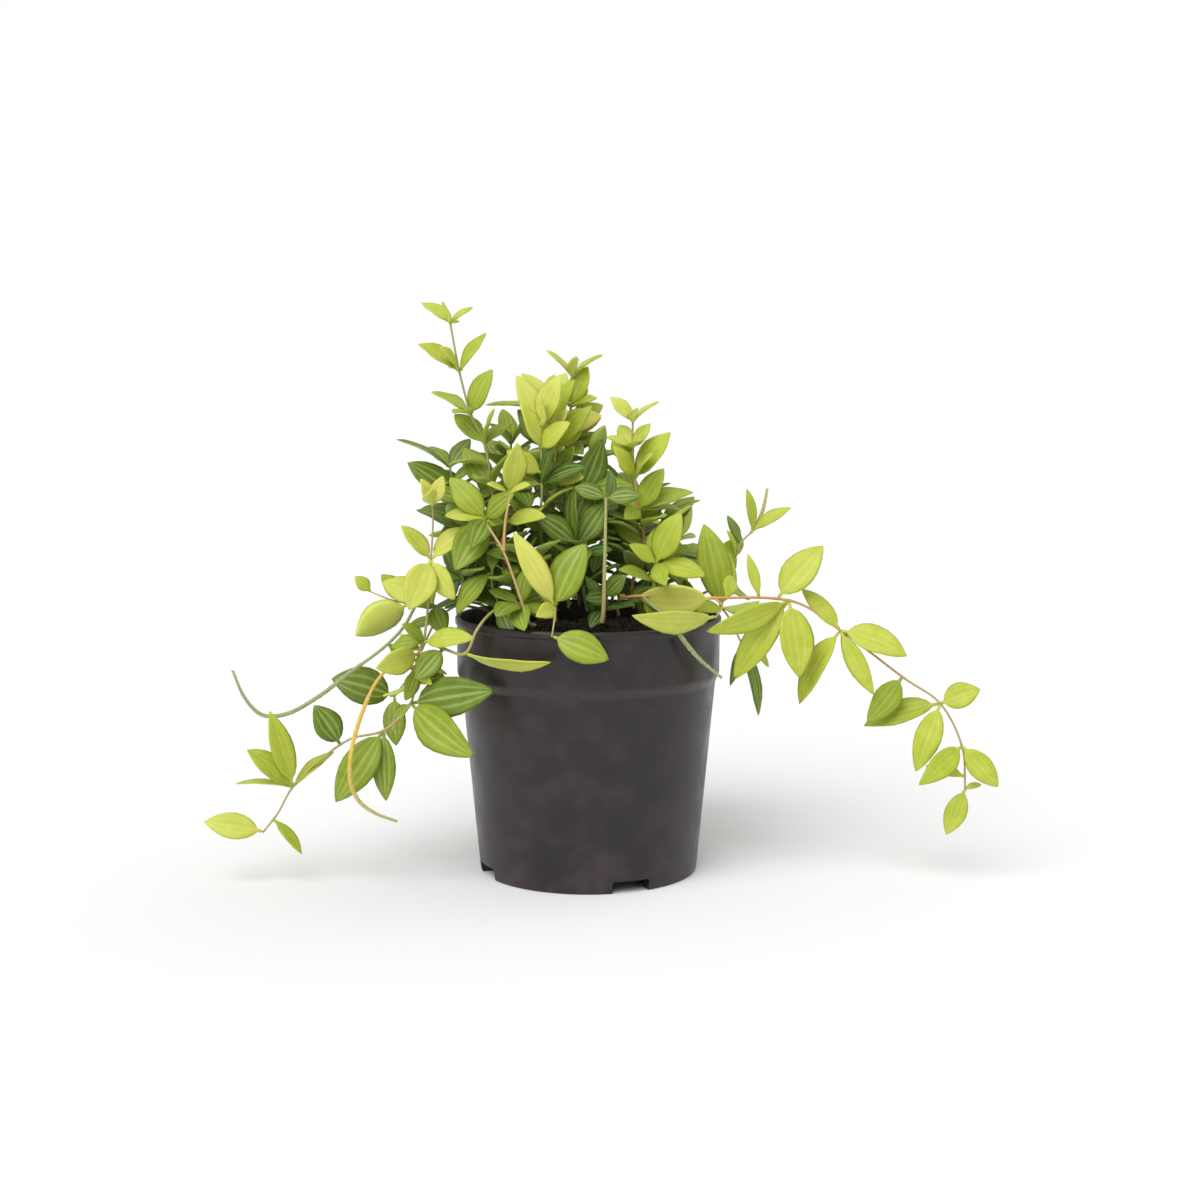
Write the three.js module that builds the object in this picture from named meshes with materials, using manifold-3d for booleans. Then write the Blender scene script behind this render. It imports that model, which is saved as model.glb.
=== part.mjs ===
import * as THREE from "three";
import { mergeVertices } from "three/addons/utils/BufferGeometryUtils.js";
import Module from "manifold-3d";

// A beetle peperomia in its nursery pot: millimetres, +Z up, the origin at the middle of the pot's
// underside and the front at -Y.

// The pot: a tapered wall with a stepped collar, a rolled rim and four drainage notches in its foot.
const rimRadius = 60.5;
const potHeight = 117.1;
const rimBead = 3.6;
const rimRound = 0.7;
const rimWidth = 2.2;
const collarRadius = 59.7;
const stepHeight = 90;
const stepUp = 1.4;
const stepDown = 2.4;
const bodyTopRadius = 57.9;
const footRadius = 49.8;
const wallThickness = 1.8;
const floorThickness = 2.2;
const recessDepth = 4.2;
const padRadius = 18;
const footWidth = 6;
const footChamfer = 0.6;
const recessSlope = 2;
const potSides = 36;
const notchCount = 4;
const firstNotchTurn = 22.5;
const notchWidth = 17.5;
const notchHeight = 5.4;
const drainCount = 6;
const drainRadius = 4;
const drainRing = 31;
const drainSides = 8;

// The soil: a filling that stands clear of the pot's wall, with a hole for each stem.
const soilGap = 0.42;
const soilLevel = 108;
const soilUnevenness = 1.6;
const soilRings = [0.97, 0.66, 0.34];
const soilSides = 24;
const holeGap = 0.45;
const holeSides = 6;
const rootDepth = 14;

// Leaves: fleshy ellipses on a short stalk, folded a little along the midrib and bowed a little along
// their length. Each is a row of sections at shares of its length, fewer on a shorter leaf.
const widthToLength = 0.51;
const bladeThickness = 1.25;
const petioleWidth = 1.5;
const petioleShare = 0.1;
const longStations = [0.12, 0.33, 0.58, 0.82];
const shortStations = [0.13, 0.4, 0.75];
const tinyStations = [0.2, 0.6];
const shortLeaf = 29;
const tinyLeaf = 17;
const rootInset = 0.25;
const foldRise = 0.22;
// How far leaves keep from other shoots and from leaves of their own shoot.
const sampleStep = 4;
const clearance = 3.1;
const ownClearance = 1.6;
// How far the leaves vary: degrees about their length, shares of their size, degrees about the stem.
const rollSpread = 16;
const widthSpread = 0.12;
const bowLeast = 0.03;
const bowSpread = 0.05;
const turnSpread = 20;
const openSpread = 14;
const lengthSpread = 0.24;
const firstSeed = 101;

// Stems: four-angled and thinner towards the tip.
const stemSides = 4;
const stemStep = 17;
const tipTaper = 0.7;
const spikeRadius = 1.1;
const endInset = 0.03;
const stemDotStep = 3;

// Colours of the foliage, from the newest growth to the oldest.
const tones = { young: 0xb4c23e, fresh: 0x96b23c, middling: 0x7b9c3a, mature: 0x55792f };
const potColour = 0x443e3c;
const soilColour = 0x2e231b;
const leafRoughness = 0.45;
const potRoughness = 0.45;
const soilRoughness = 0.95;

// Each leafy stem. root is where it stands in the soil, or on names the node that it branches from.
// route is the way it takes above the soil, and a joint counts along its points from 0. A leaf row is
// [joint, tip x, y, z from that joint, turn of its face towards the front, width where it is set].
// A whorl row is [joint, leaves, turn about the stem, opening from the stem, length].
const leafyStems = [
  {
    node: "shoot_trailing_right",
    tone: "young",
    root: [14, -20],
    thick: 1.4,
    route: [[13, -25, 126], [22, -28, 129], [49, -31, 128.5], [88, -32, 127.5], [111, -30, 114],
      [139, -28, 93], [156, -28, 81], [166, -28, 62], [168, -28, 42]],
    leaves: [[2.17, -33, 5, 0, 112, 16], [2.85, 20, 2, 23, 65, 15],
      [3, -37, -13, -12, 105, 12], [3, -35, -4, -24, 60, 14], [3, 4, -8, -33, 10, 17],
      [4, -17, 6, -34, 60, 13], [4, 29, -3, -11, 50, 15], [4, 19, -12, -23, 75, 9],
      [4, 7, 6, -22, 5, 9], [4, -17, 4, 18, 60, 9], [5, -16, -5, -19, 80, 13],
      [6, 17, -3, 7, 75, 12], [6, -33, 5, -11, 55, 13], [6, -17, -3, -27, 75, 12],
      [7, 16, -3, -18, 75, 11], [7, -25, -15, -9, 60, 11], [7.7, -17, 4, 4, 40, 7],
      [8, -8, 0, -21, 85, 10], [8, 8, 4, 1, 30, 4]],
    whorls: [],
  },
  {
    node: "shoot_trailing_left",
    tone: "middling",
    root: [-35, -27],
    thick: 1.4,
    route: [[-38, -32, 124], [-43, -39, 122], [-48, -45, 116], [-53, -45, 106], [-63, -38, 107],
      [-72, -32, 109], [-76, -32, 97], [-78, -33, 82], [-90, -33, 70], [-105, -33, 66],
      [-119, -32, 56], [-131, -31, 44], [-138, -30, 32], [-145, -29, 23]],
    leaves: [[3, 38, -24, 0, 140, 11], [4, -12, -5, -13, 60, 11], [5, 24, -8, 7, 40, 11],
      [5, -9, -6, 9, 60], [5, -15, 5, -3, 60], [6, -4, -6, -13, 60], [6, 10, 7, -4, 60],
      [6, -12, 8, 2, 50], [7, 36, -15, 17, 75, 18], [7, 33, -16, -21, 80, 18],
      [7, -9, 8, -14, 60], [8, -21, -6, -31, 75, 16], [8, 1, -4, -31, 25, 11],
      [9.3, -11, -2, 18, 75, 13], [11, -9, -4, 35, 75, 11], [11, -21, -8, 14, 60, 12],
      [11, 18, 5, 15, 30, 8], [11, -26, 2, 1, 5, 7], [13, -26, -2, 5, 75, 12],
      [12.3, 13, -4, -15, 30, 6]],
    whorls: [],
  },
  {
    on: "shoot_trailing_left",
    thick: 1.2,
    route: [[-72, -32, 109], [-70, -29, 127], [-69, -27, 145], [-68, -27, 159], [-68, -27, 169]],
    leaves: [[4, -5, -2, 12, 70], [4, 5, 2, 13, 60], [4, 0, -13, 7, 30], [2, -13, 0, 15, 50],
      [2, 17, 6, 14, 40], [2, -9, -10, -21, 60, 15], [2, 9, -8, -17, 70], [1, -21, 4, 8, 60]],
    whorls: [],
  },
  {
    node: "shoot_tall_left",
    tone: "fresh",
    root: [-26, -7],
    thick: 1.5,
    route: [[-33, -8, 134], [-40, -9, 152], [-43, -10, 175], [-46, -10, 195], [-52, -10, 208],
      [-57, -10, 227], [-61, -10, 249]],
    leaves: [[6, -13, 4, 9, 20], [6, -3, -9, 9, 60], [6, 10, 3, 7, 10], [5, -18, -3, 12, 45],
      [5, -8, -9, 11, 50], [5, 12, 2, 17, 30, 8], [4, 10, -4, 20, 70], [4, -18, 3, 10, 15],
      [4, -7, -14, 1, 10], [3, -14, 8, 13, 30], [3, 5, -9, 16, 50], [3, 12, 9, 9, 10],
      [2, -13, 6, 18, 50], [2, 8, -12, 16, 40], [2, -5, -18, 10, 20]],
    whorls: [[1, 3, 150, 62, 24]],
  },
  {
    node: "shoot_left_middle",
    tone: "fresh",
    root: [-31, -19],
    thick: 1.4,
    route: [[-32, -20, 130], [-39, -22, 149], [-45, -24, 163]],
    leaves: [[2, -12, 3, 21, 75], [2, 6, -3, 20, 65], [2, -17, -7, 2, 35], [2, -22, -12, -14, 60],
      [2, -7, -13, -18, 30]],
    whorls: [[0.1, 3, 250, 60, 25]],
  },
  {
    on: "shoot_left_middle",
    thick: 1.2,
    route: [[-39, -22, 149], [-36, -23, 161], [-35, -24, 174]],
    leaves: [[2, 2, 2, 23, 80], [2, -9, -8, 5, 30], [2, 11, -6, 6, 25], [1, 18, -8, 3, 50],
      [1, -13, 9, 9, 30]],
    whorls: [],
  },
  {
    node: "shoot_centre_low",
    tone: "mature",
    root: [0, -12],
    thick: 1.5,
    route: [[-2, -14, 130], [-4, -15, 144], [-5, -16, 151]],
    leaves: [[1.85, -1, 2, 27, 85, 17], [1.85, 13, 6, 19, 60], [1.85, -12, 2, 20, 60],
      [1.85, -3, -20, 4, 20], [1, 15, -8, 5, 40], [1, -14, -6, 9, 50]],
    whorls: [[0.1, 3, 230, 66, 23]],
  },
  {
    node: "shoot_centre_bright",
    tone: "young",
    root: [-13, -8],
    thick: 1.5,
    route: [[-18, -9, 130], [-21, -11, 155], [-20.5, -12, 182], [-21.5, -12, 203]],
    leaves: [[2.5, -9, -6, 20, 75, 10], [2.5, 9, -6, 18, 75, 10], [3, -8, -2, 24, 75, 11],
      [3, 5, -1, 25, 75, 12], [3, -1, -7, 18, 80, 9], [2.5, 4, 12, 12, 30], [1.8, 6, -6, 19, 75, 9],
      [1.8, -15, -9, 11, 60], [1.8, 20, -6, 8, 45], [1, -16, -12, 9, 60], [1, 17, -14, 7, 60],
      [1, 2, -22, 3, 30], [1, 3, 16, 12, 30]],
    whorls: [[0.2, 2, 290, 66, 24]],
  },
  {
    node: "shoot_left_back",
    tone: "mature",
    root: [-38, 14],
    thick: 1.5,
    route: [[-44, 12, 129], [-54, 10, 150], [-60, 8, 169], [-63, 6, 184]],
    leaves: [[3, -24, -3, 13, 0, 9], [3, -9, 8, 12, 10], [3, 9, 6, 13, 40], [2, -22, -4, 17, 60],
      [2, -6, 13, 13, 20], [2, 9, -12, 11, 30], [1, -14, 4, 9, 40], [1, 9, 12, 11, 20],
      [1, -8, -14, -8, 30]],
    whorls: [],
  },
  {
    node: "shoot_centre_top",
    tone: "young",
    root: [-19, 5],
    thick: 1.5,
    route: [[-19, 5, 130], [-17, 4, 151], [-15, 3, 174], [-15, 1, 192], [-17, 1, 209]],
    leaves: [[3.5, 10, -6, 23, 75, 12], [4, -9, 3, 20, 75], [4, 3, 9, 19, 40], [4, -26, 0, 15, 8, 9],
      [4, 7, 2, 18, 60], [3, 17, -4, 20, 70, 9], [3, -17, 3, 18, 60], [3, -17, 12, 11, 40],
      [3, 6, 14, 13, 30], [2, 9, -7, 20, 75], [2, -9, 8, 18, 60], [2, -20, 8, 9, 30],
      [2, 18, 8, 9, 30]],
    whorls: [[1, 3, 200, 65, 26]],
  },
  {
    node: "shoot_centre_back",
    tone: "fresh",
    root: [-7, 16],
    thick: 1.5,
    route: [[-13, 14, 129], [-12, 13, 150], [-11, 12, 173], [-10, 12, 194], [-8, 12, 211],
      [-7, 12, 225]],
    leaves: [[5, -12, 0, 12, 5], [5, 14, 2, 10, 5], [5, 3, -12, 7, 30], [4, -8, -3, 13, 60],
      [4, 6, -2, 19, 80], [4, 12, -8, 4, 35], [4, 1, 14, 13, 10], [3, 18, -4, 2, 35],
      [3, 16, 6, 12, 30], [3, -8, 8, 10, 30], [3, 2, -16, -2, 30], [2, 18, -8, 6, 45],
      [2, -14, 6, 9, 30]],
    whorls: [[1, 3, 40, 65, 26], [0.2, 3, 100, 66, 23]],
  },
  {
    node: "shoot_right_middle",
    tone: "fresh",
    root: [21, -3],
    thick: 1.5,
    route: [[20, -2, 131], [25, -3, 149], [23, -3, 165], [21, -3, 179], [20, -3, 193],
      [20, -3, 205]],
    leaves: [[5, -10, 3, 11, 40], [5, 12, 2, 9, 5], [5, 1, -10, 6, 30], [4, -12, -2, 5, 25],
      [4, 8, -2, 11, 70], [4, -6, 9, 10, 40], [4, 3, -14, 4, 30], [3, 16, 0, 21, 50],
      [3, -10, -6, 15, 70], [3, 8, -12, 12, 40], [3, -6, 12, 8, 20], [2, 11, -4, 19, 75],
      [2, 23, 0, 12, 30], [2, 21, 5, 3, 20], [2, -15, 6, 13, 50], [2, -7, -14, -3, 40],
      [1, -15, 6, 9, 40], [1, 17, 8, 2, 30]],
    whorls: [[1.5, 3, 300, 62, 24], [0.2, 2, 250, 66, 23]],
  },
  {
    node: "shoot_right_near",
    tone: "fresh",
    root: [32, -18],
    thick: 1.4,
    route: [[29, -20, 129], [30, -23, 143]],
    leaves: [[1, 11, -2, 23, 75], [1, 20, -8, -8, 45], [1, -12, -2, 9, 60], [1, -3, 11, 14, 40],
      [1, 4, -16, -8, 30]],
    whorls: [],
  },
  {
    node: "shoot_right_back",
    tone: "fresh",
    root: [36, 10],
    thick: 1.4,
    route: [[46, 14, 122], [59, 20, 128], [68, 26, 140], [71, 28, 147], [77, 30, 153]],
    leaves: [[4, -3, 0, 20, 60, 6], [4, 18, 0, 11, 45, 7], [3, -6, 4, 13, 40, 5], [2, -4, -6, 14, 60, 8],
      [2, 3, 9, 12, 30, 6], [1, 7, 6, 21, 60], [1, -13, -8, 13, 40], [1, 17, 10, -8, 30]],
    whorls: [],
  },
  {
    node: "shoot_right_low",
    tone: "fresh",
    root: [41, -6],
    thick: 1.3,
    route: [[47, -8, 121], [60, -7, 121], [70, -4, 104]],
    leaves: [[1, -8, 2, 38, 70, 16], [1, 5, 8, 28, 50, 12], [2, 8, 2, -34, 60, 8], [2, 13, 6, -12, 50],
      [2, -6, -10, -18, 40, 5], [1, -9, -16, -2, 30]],
    whorls: [],
  },
  {
    node: "shoot_front",
    tone: "fresh",
    root: [-14, -40],
    thick: 1.4,
    route: [[-14, -44, 126]],
    leaves: [[0, -18, 0, 33, 70, 11], [0, 10, -4, 29, 80, 19], [0, -8, -14, -2, 50],
      [0, -5, 12, 14, 40]],
    whorls: [],
  },
  {
    on: "shoot_front",
    thick: 1.1,
    route: [[-14, -44, 126], [-14, -56, 123], [-15, -64, 116]],
    leaves: [[2, 24, -1, -10, 75, 14]],
    whorls: [],
  },
  {
    node: "shoot_front_left",
    tone: "middling",
    root: [-29, -36],
    thick: 1.4,
    route: [[-30, -38, 127]],
    leaves: [[0, -9, -20, -3, 20], [0, 13, -22, -5, 30], [0, 4, 7, 17, 60], [0, -12, 5, 11, 30]],
    whorls: [],
  },
  {
    node: "shoot_left_outer",
    tone: "young",
    root: [-46, 2],
    thick: 1.3,
    route: [[-55, 0, 121], [-70, -6, 122], [-81, -8, 123]],
    leaves: [[2, -24, -4, -14, -75, 17], [2, -13, 4, 13, 50], [1, -3, 11, 10, 40],
      [1, 10, -14, -10, 30], [1, -10, -14, 2, 40]],
    whorls: [],
  },
  {
    on: "shoot_left_outer",
    thick: 0.9,
    route: [[-81, -8, 123], [-91, -4, 125], [-99, -2, 128]],
    leaves: [[2, -7, 0, 7, 60, 6.5]],
    whorls: [],
  },
  {
    node: "shoot_left_hanging",
    tone: "mature",
    root: [-46, 16],
    thick: 1.3,
    route: [[-57, 13, 121], [-70, 7, 113], [-80, 2, 92], [-89, 0, 79]],
    leaves: [[3, -28, -5, 9, 75, 18], [2, -11, -6, 12, 60], [2, 15, 6, -8, 60], [3, 1, -5, -22, 25],
      [1, -14, 6, -4, 40]],
    whorls: [],
  },
  {
    node: "shoot_inner_left",
    tone: "mature",
    root: [-36, 3],
    thick: 1.4,
    route: [[-42, 2, 130], [-50, -2, 150], [-54, -6, 168]],
    leaves: [],
    whorls: [[0.4, 3, 200, 65, 27], [1.2, 3, 140, 62, 27], [2, 3, 20, 48, 24]],
  },
  {
    node: "shoot_inner_centre",
    tone: "mature",
    root: [-9, 0],
    thick: 1.5,
    route: [[-9, -1, 130], [-8, -3, 152], [-4, -5, 172]],
    leaves: [],
    whorls: [[0.2, 3, 260, 65, 28], [1, 3, 330, 62, 28], [2, 3, 30, 50, 26]],
  },
  {
    node: "shoot_inner_back",
    tone: "mature",
    root: [-22, 27],
    thick: 1.5,
    route: [[-27, 29, 130], [-32, 29, 152], [-35, 27, 175], [-36, 25, 194]],
    leaves: [],
    whorls: [[0.5, 3, 20, 65, 28], [1.4, 3, 80, 60, 27], [2.2, 4, 30, 58, 25], [3, 3, 100, 45, 20]],
  },
  {
    node: "shoot_inner_right",
    tone: "mature",
    root: [10, 16],
    thick: 1.4,
    route: [[13, 17, 130], [18, 17, 150], [20, 15, 166]],
    leaves: [],
    whorls: [[0.6, 3, 350, 62, 26], [1.3, 3, 50, 60, 26], [2, 4, 0, 50, 23]],
  },
  {
    node: "shoot_back_middle",
    tone: "middling",
    root: [-1, 34],
    thick: 1.4,
    route: [[-3, 40, 129], [-8, 50, 146], [-12, 56, 164], [-13, 60, 180]],
    leaves: [],
    whorls: [[0.4, 3, 40, 65, 28], [1.2, 3, 100, 62, 27], [2.1, 3, 40, 56, 25], [3, 3, 10, 45, 20]],
  },
  {
    node: "shoot_back_left",
    tone: "middling",
    root: [-36, 30],
    thick: 1.4,
    route: [[-44, 38, 127], [-52, 48, 138], [-57, 54, 152]],
    leaves: [],
    whorls: [[0.4, 3, 70, 65, 27], [1.2, 3, 120, 60, 26], [2, 3, 80, 48, 22]],
  },
  {
    node: "shoot_back_right",
    tone: "middling",
    root: [24, 31],
    thick: 1.4,
    route: [[29, 42, 126], [36, 55, 134], [40, 64, 144]],
    leaves: [],
    whorls: [[0.4, 3, 60, 65, 27], [1.2, 3, 0, 60, 26], [2, 3, 30, 48, 22]],
  },
  {
    node: "shoot_trailing_back",
    tone: "fresh",
    root: [-6, 46],
    thick: 1.3,
    route: [[-8, 57, 123], [-11, 70, 119], [-12, 80, 100], [-10, 85, 76], [-8, 84, 54]],
    leaves: [],
    whorls: [[1, 2, 0, 65, 28], [1.7, 3, 50, 62, 30], [2.5, 2, 20, 60, 28], [3.2, 3, 80, 58, 25],
      [4, 3, 30, 45, 20]],
  },
  {
    node: "shoot_trailing_back_right",
    tone: "fresh",
    root: [17, 45],
    thick: 1.3,
    route: [[21, 56, 123], [26, 68, 117], [30, 76, 98], [31, 79, 78]],
    leaves: [],
    whorls: [[1, 2, 60, 65, 27], [1.8, 3, 10, 62, 28], [2.5, 2, 80, 60, 26], [3, 3, 0, 48, 21]],
  },
  {
    node: "shoot_left_near",
    tone: "middling",
    root: [-43, -12],
    thick: 1.3,
    route: [[-48, -15, 124], [-55, -20, 136]],
    leaves: [],
    whorls: [[0.2, 2, 200, 60, 24], [1, 4, 240, 55, 25]],
  },
  {
    node: "shoot_inner_front",
    tone: "mature",
    root: [-20, -24],
    thick: 1.3,
    route: [[-21, -25, 129], [-24, -27, 144]],
    leaves: [],
    whorls: [[0.2, 2, 190, 62, 24], [1, 4, 215, 50, 25]],
  },
  {
    on: "shoot_trailing_right",
    thick: 1.1,
    route: [[55.6, -31.2, 128.5], [58.5, -38, 125.5], [55, -45, 121.5]],
    leaves: [[1.85, -37, -20, 3, 122, 13]],
    whorls: [],
  },
];

// The slender flower spikes, each growing from a stem of the node it is on.
const flowerSpikes = [
  {
    on: "shoot_left_outer",
    route: [[-78, -8, 122], [-83, -13, 113], [-92, -17, 104], [-107, -18, 93], [-120, -18, 83],
      [-134, -18, 75], [-146, -18, 74], [-154, -18, 82], [-159, -18, 94]],
  },
  {
    on: "shoot_trailing_left",
    route: [[-76, -32, 98], [-84, -36, 100], [-92, -40, 93], [-98, -44, 80], [-102, -48, 66],
      [-103, -50, 53], [-100, -50, 43], [-93, -50, 37], [-83, -50, 33]],
  },
  {
    on: "shoot_trailing_right",
    route: [[24, -28.2, 129], [29, -36, 125], [34, -45, 122], [38, -49.5, 117], [43, -48.5, 110],
      [49, -46, 103], [58, -42, 95]],
  },
  {
    on: "shoot_right_back",
    route: [[76, 29.6, 152], [79, 31, 156], [82, 33, 163], [84, 36, 172]],
  },
];

const radians = Math.PI / 180;

// A small seeded generator of draws from 0 to 1.
function drawer(seed) {
  let state = seed >>> 0;
  return () => {
    state = (state + 0x6d2b79f5) >>> 0;
    let t = state;
    t = Math.imul(t ^ (t >>> 15), t | 1);
    t ^= t + Math.imul(t ^ (t >>> 7), t | 61);
    return ((t ^ (t >>> 14)) >>> 0) / 4294967296;
  };
}

const wasm = await Module();
wasm.setup();

// A closed three.js geometry as a solid that can be joined and cut.
function toSolid(geometry) {
  const bare = geometry.index ? geometry.toNonIndexed() : geometry.clone();
  bare.deleteAttribute("normal");
  bare.deleteAttribute("uv");
  const merged = mergeVertices(bare, 1e-4);
  const corners = merged.index.array;
  const kept = [];
  for (let i = 0; i < corners.length; i += 3) {
    const [a, b, c] = [corners[i], corners[i + 1], corners[i + 2]];
    if (a !== b && b !== c && c !== a) kept.push(a, b, c);
  }
  return new wasm.Manifold(new wasm.Mesh({
    numProp: 3,
    vertProperties: merged.attributes.position.array,
    triVerts: new Uint32Array(kept),
  }));
}

// A solid back as a three.js geometry.
function toGeometry(solid) {
  const mesh = solid.getMesh();
  const geometry = new THREE.BufferGeometry();
  geometry.setAttribute("position", new THREE.BufferAttribute(mesh.vertProperties, 3));
  geometry.setIndex(new THREE.BufferAttribute(mesh.triVerts, 1));
  const flat = geometry.toNonIndexed();
  flat.computeVertexNormals();
  return flat;
}

// A lathe turned about Z: the profile's points are [radius, height].
function turned(profile, sides) {
  const points = profile.map(([r, z]) => new THREE.Vector2(r, z));
  return new THREE.LatheGeometry(points, sides).rotateX(Math.PI / 2);
}

// The pot: a turned profile with notches cut in its foot and drain holes in its floor.
function makePot() {
  const profile = [
    [0, 0],
    [padRadius, 0],
    [padRadius + recessSlope, recessDepth],
    [footRadius - footWidth - recessSlope, recessDepth],
    [footRadius - footWidth, 0],
    [footRadius - footChamfer, 0],
    [footRadius, 2 * footChamfer],
    [bodyTopRadius, stepHeight - stepDown],
    [collarRadius, stepHeight + stepUp],
    [rimRadius - rimRound, potHeight - rimBead],
    [rimRadius, potHeight - rimBead + rimRound],
    [rimRadius, potHeight - rimRound],
    [rimRadius - rimRound, potHeight],
    [rimRadius - rimWidth, potHeight],
    [collarRadius - wallThickness, stepHeight + stepUp],
    [bodyTopRadius - wallThickness, stepHeight - stepDown - 1],
    [footRadius - wallThickness, recessDepth + floorThickness],
    [0, recessDepth + floorThickness],
  ];
  let pot = toSolid(turned(profile, potSides));
  for (let i = 0; i < notchCount; i++) {
    const turn = (firstNotchTurn + (i * 360) / notchCount) * radians;
    const cutter = new THREE.BoxGeometry(footWidth * 3, notchWidth, notchHeight * 2);
    cutter.translate(footRadius, 0, 0).rotateZ(turn);
    pot = pot.subtract(toSolid(cutter));
  }
  for (let i = 0; i < drainCount; i++) {
    const turn = (i * 360) / drainCount * radians;
    const depth = 4 * floorThickness;
    const drain = new THREE.CylinderGeometry(drainRadius, drainRadius, depth, drainSides);
    drain.rotateX(Math.PI / 2);
    drain.translate(drainRing * Math.cos(turn), drainRing * Math.sin(turn), recessDepth);
    pot = pot.subtract(toSolid(drain));
  }
  return pot;
}

// The pot's inner radius at a height up to the collar.
function innerRadius(z) {
  const bottom = recessDepth + floorThickness;
  const share = Math.min(1, (z - bottom) / (stepHeight - stepDown - 1 - bottom));
  const foot = footRadius - wallThickness;
  return foot + (bodyTopRadius - wallThickness - foot) * share;
}

// The soil: a turned filling with an uneven top, less a hole for each stem.
function makeSoil() {
  const bottom = recessDepth + floorThickness + soilGap;
  const top = innerRadius(stepHeight) - soilGap;
  const profile = [
    [0, bottom],
    [innerRadius(bottom) - soilGap - 0.2, bottom],
    [top - 0.2, stepHeight - 3],
    [top, soilLevel - 3],
    ...soilRings.map((share) => [top * share, soilLevel]),
    [0, soilLevel],
  ];
  const geometry = turned(profile, soilSides);
  const place = geometry.attributes.position;
  for (let i = 0; i < place.count; i++) {
    const x = place.getX(i);
    const y = place.getY(i);
    const z = place.getZ(i);
    if (z < soilLevel - 1) continue;
    const wave = Math.sin(x * 0.31 + y * 0.17) + Math.sin(y * 0.29 - x * 0.12 + 1.3);
    place.setZ(i, z + (wave * soilUnevenness) / 2);
  }
  let soil = toSolid(geometry);
  for (const stem of leafyStems) {
    if (!stem.root) continue;
    const radius = (stem.thick + holeGap) / Math.cos(Math.PI / holeSides);
    const height = rootDepth + 12;
    const hole = new THREE.CylinderGeometry(radius, radius, height, holeSides);
    hole.rotateX(Math.PI / 2);
    hole.translate(stem.root[0], stem.root[1], soilLevel - rootDepth - 1 + height / 2);
    soil = soil.subtract(toSolid(hole));
  }
  return soil;
}

// The smooth line through a stem's route, with its straight start in the soil.
function stemLine(stem) {
  const below = stem.root
    ? [-rootDepth, -3, 9].map((rise) => [stem.root[0], stem.root[1], soilLevel + rise])
    : [];
  const points = [...below, ...stem.route].map((p) => new THREE.Vector3(...p));
  const line = new THREE.CatmullRomCurve3(points, false, "catmullrom", 0.5);
  const spans = points.length - 1;
  const joints = [...(stem.leaves ?? []), ...(stem.whorls ?? [])].map((row) => below.length + row[0]);
  const stops = [...new Set([...points.keys(), ...joints])].sort((a, b) => a - b);
  for (let i = stops.length - 1; i > 0; i--) {
    const middle = (stops[i - 1] + stops[i]) / 2;
    const reach = line.getPoint(stops[i - 1] / spans).distanceTo(line.getPoint(stops[i] / spans));
    if (reach > stemStep) stops.splice(i, 0, middle);
  }
  const stopAt = (u) => stops[Math.round(u * (stops.length - 1))] / spans;
  line.getPointAt = (u, target) => line.getPoint(stopAt(u), target);
  line.getTangentAt = (u, target) => line.getTangent(stopAt(u), target);
  return { line, first: below.length, spans, steps: stops.length - 1 };
}

// A stem's body: a square section swept along its line, then narrowed towards the tip.
function tube({ line, steps }, radius, taper) {
  const section = new THREE.Shape();
  for (let i = 0; i < stemSides; i++) {
    const turn = (i * 2 * Math.PI) / stemSides;
    const [x, y] = [radius * Math.cos(turn), radius * Math.sin(turn)];
    if (i === 0) section.moveTo(x, y);
    else section.lineTo(x, y);
  }
  const geometry = new THREE.ExtrudeGeometry(section, {
    steps,
    bevelEnabled: false,
    extrudePath: line,
  });
  const centres = line.getSpacedPoints(steps);
  const place = geometry.attributes.position;
  const corner = new THREE.Vector3();
  for (let i = 0; i < place.count; i++) {
    corner.fromBufferAttribute(place, i);
    let near = 0;
    for (let k = 1; k <= steps; k++) {
      if (corner.distanceTo(centres[k]) < corner.distanceTo(centres[near])) near = k;
    }
    const share = 1 + ((taper - 1) * near) / steps;
    corner.sub(centres[near]).multiplyScalar(share).add(centres[near]);
    place.setXYZ(i, corner.x, corner.y, corner.z);
  }
  return geometry;
}

// Half the blade's width at a share of the way from the joint to the tip.
function halfWidth(leaf, share) {
  if (share <= petioleShare) return petioleWidth / 2;
  const along = (share - petioleShare + 0.02) / (1 - petioleShare + 0.02);
  const oval = Math.sin(Math.PI * Math.pow(along, 0.92));
  return Math.max(petioleWidth / 2, leaf.width * 0.5 * Math.pow(Math.max(0, oval), 0.9));
}

// A point of the blade's middle surface: share runs to the tip, across from -1 to 1.
function bladePoint(leaf, share, across) {
  const half = halfWidth(leaf, share);
  const lift = leaf.bow * leaf.length * 4 * share * (1 - share)
    + (share > petioleShare ? foldRise * half * Math.abs(across) : 0);
  return leaf.joint.clone()
    .addScaledVector(leaf.along, leaf.length * share)
    .addScaledVector(leaf.side, half * across)
    .addScaledVector(leaf.face, lift);
}

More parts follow.
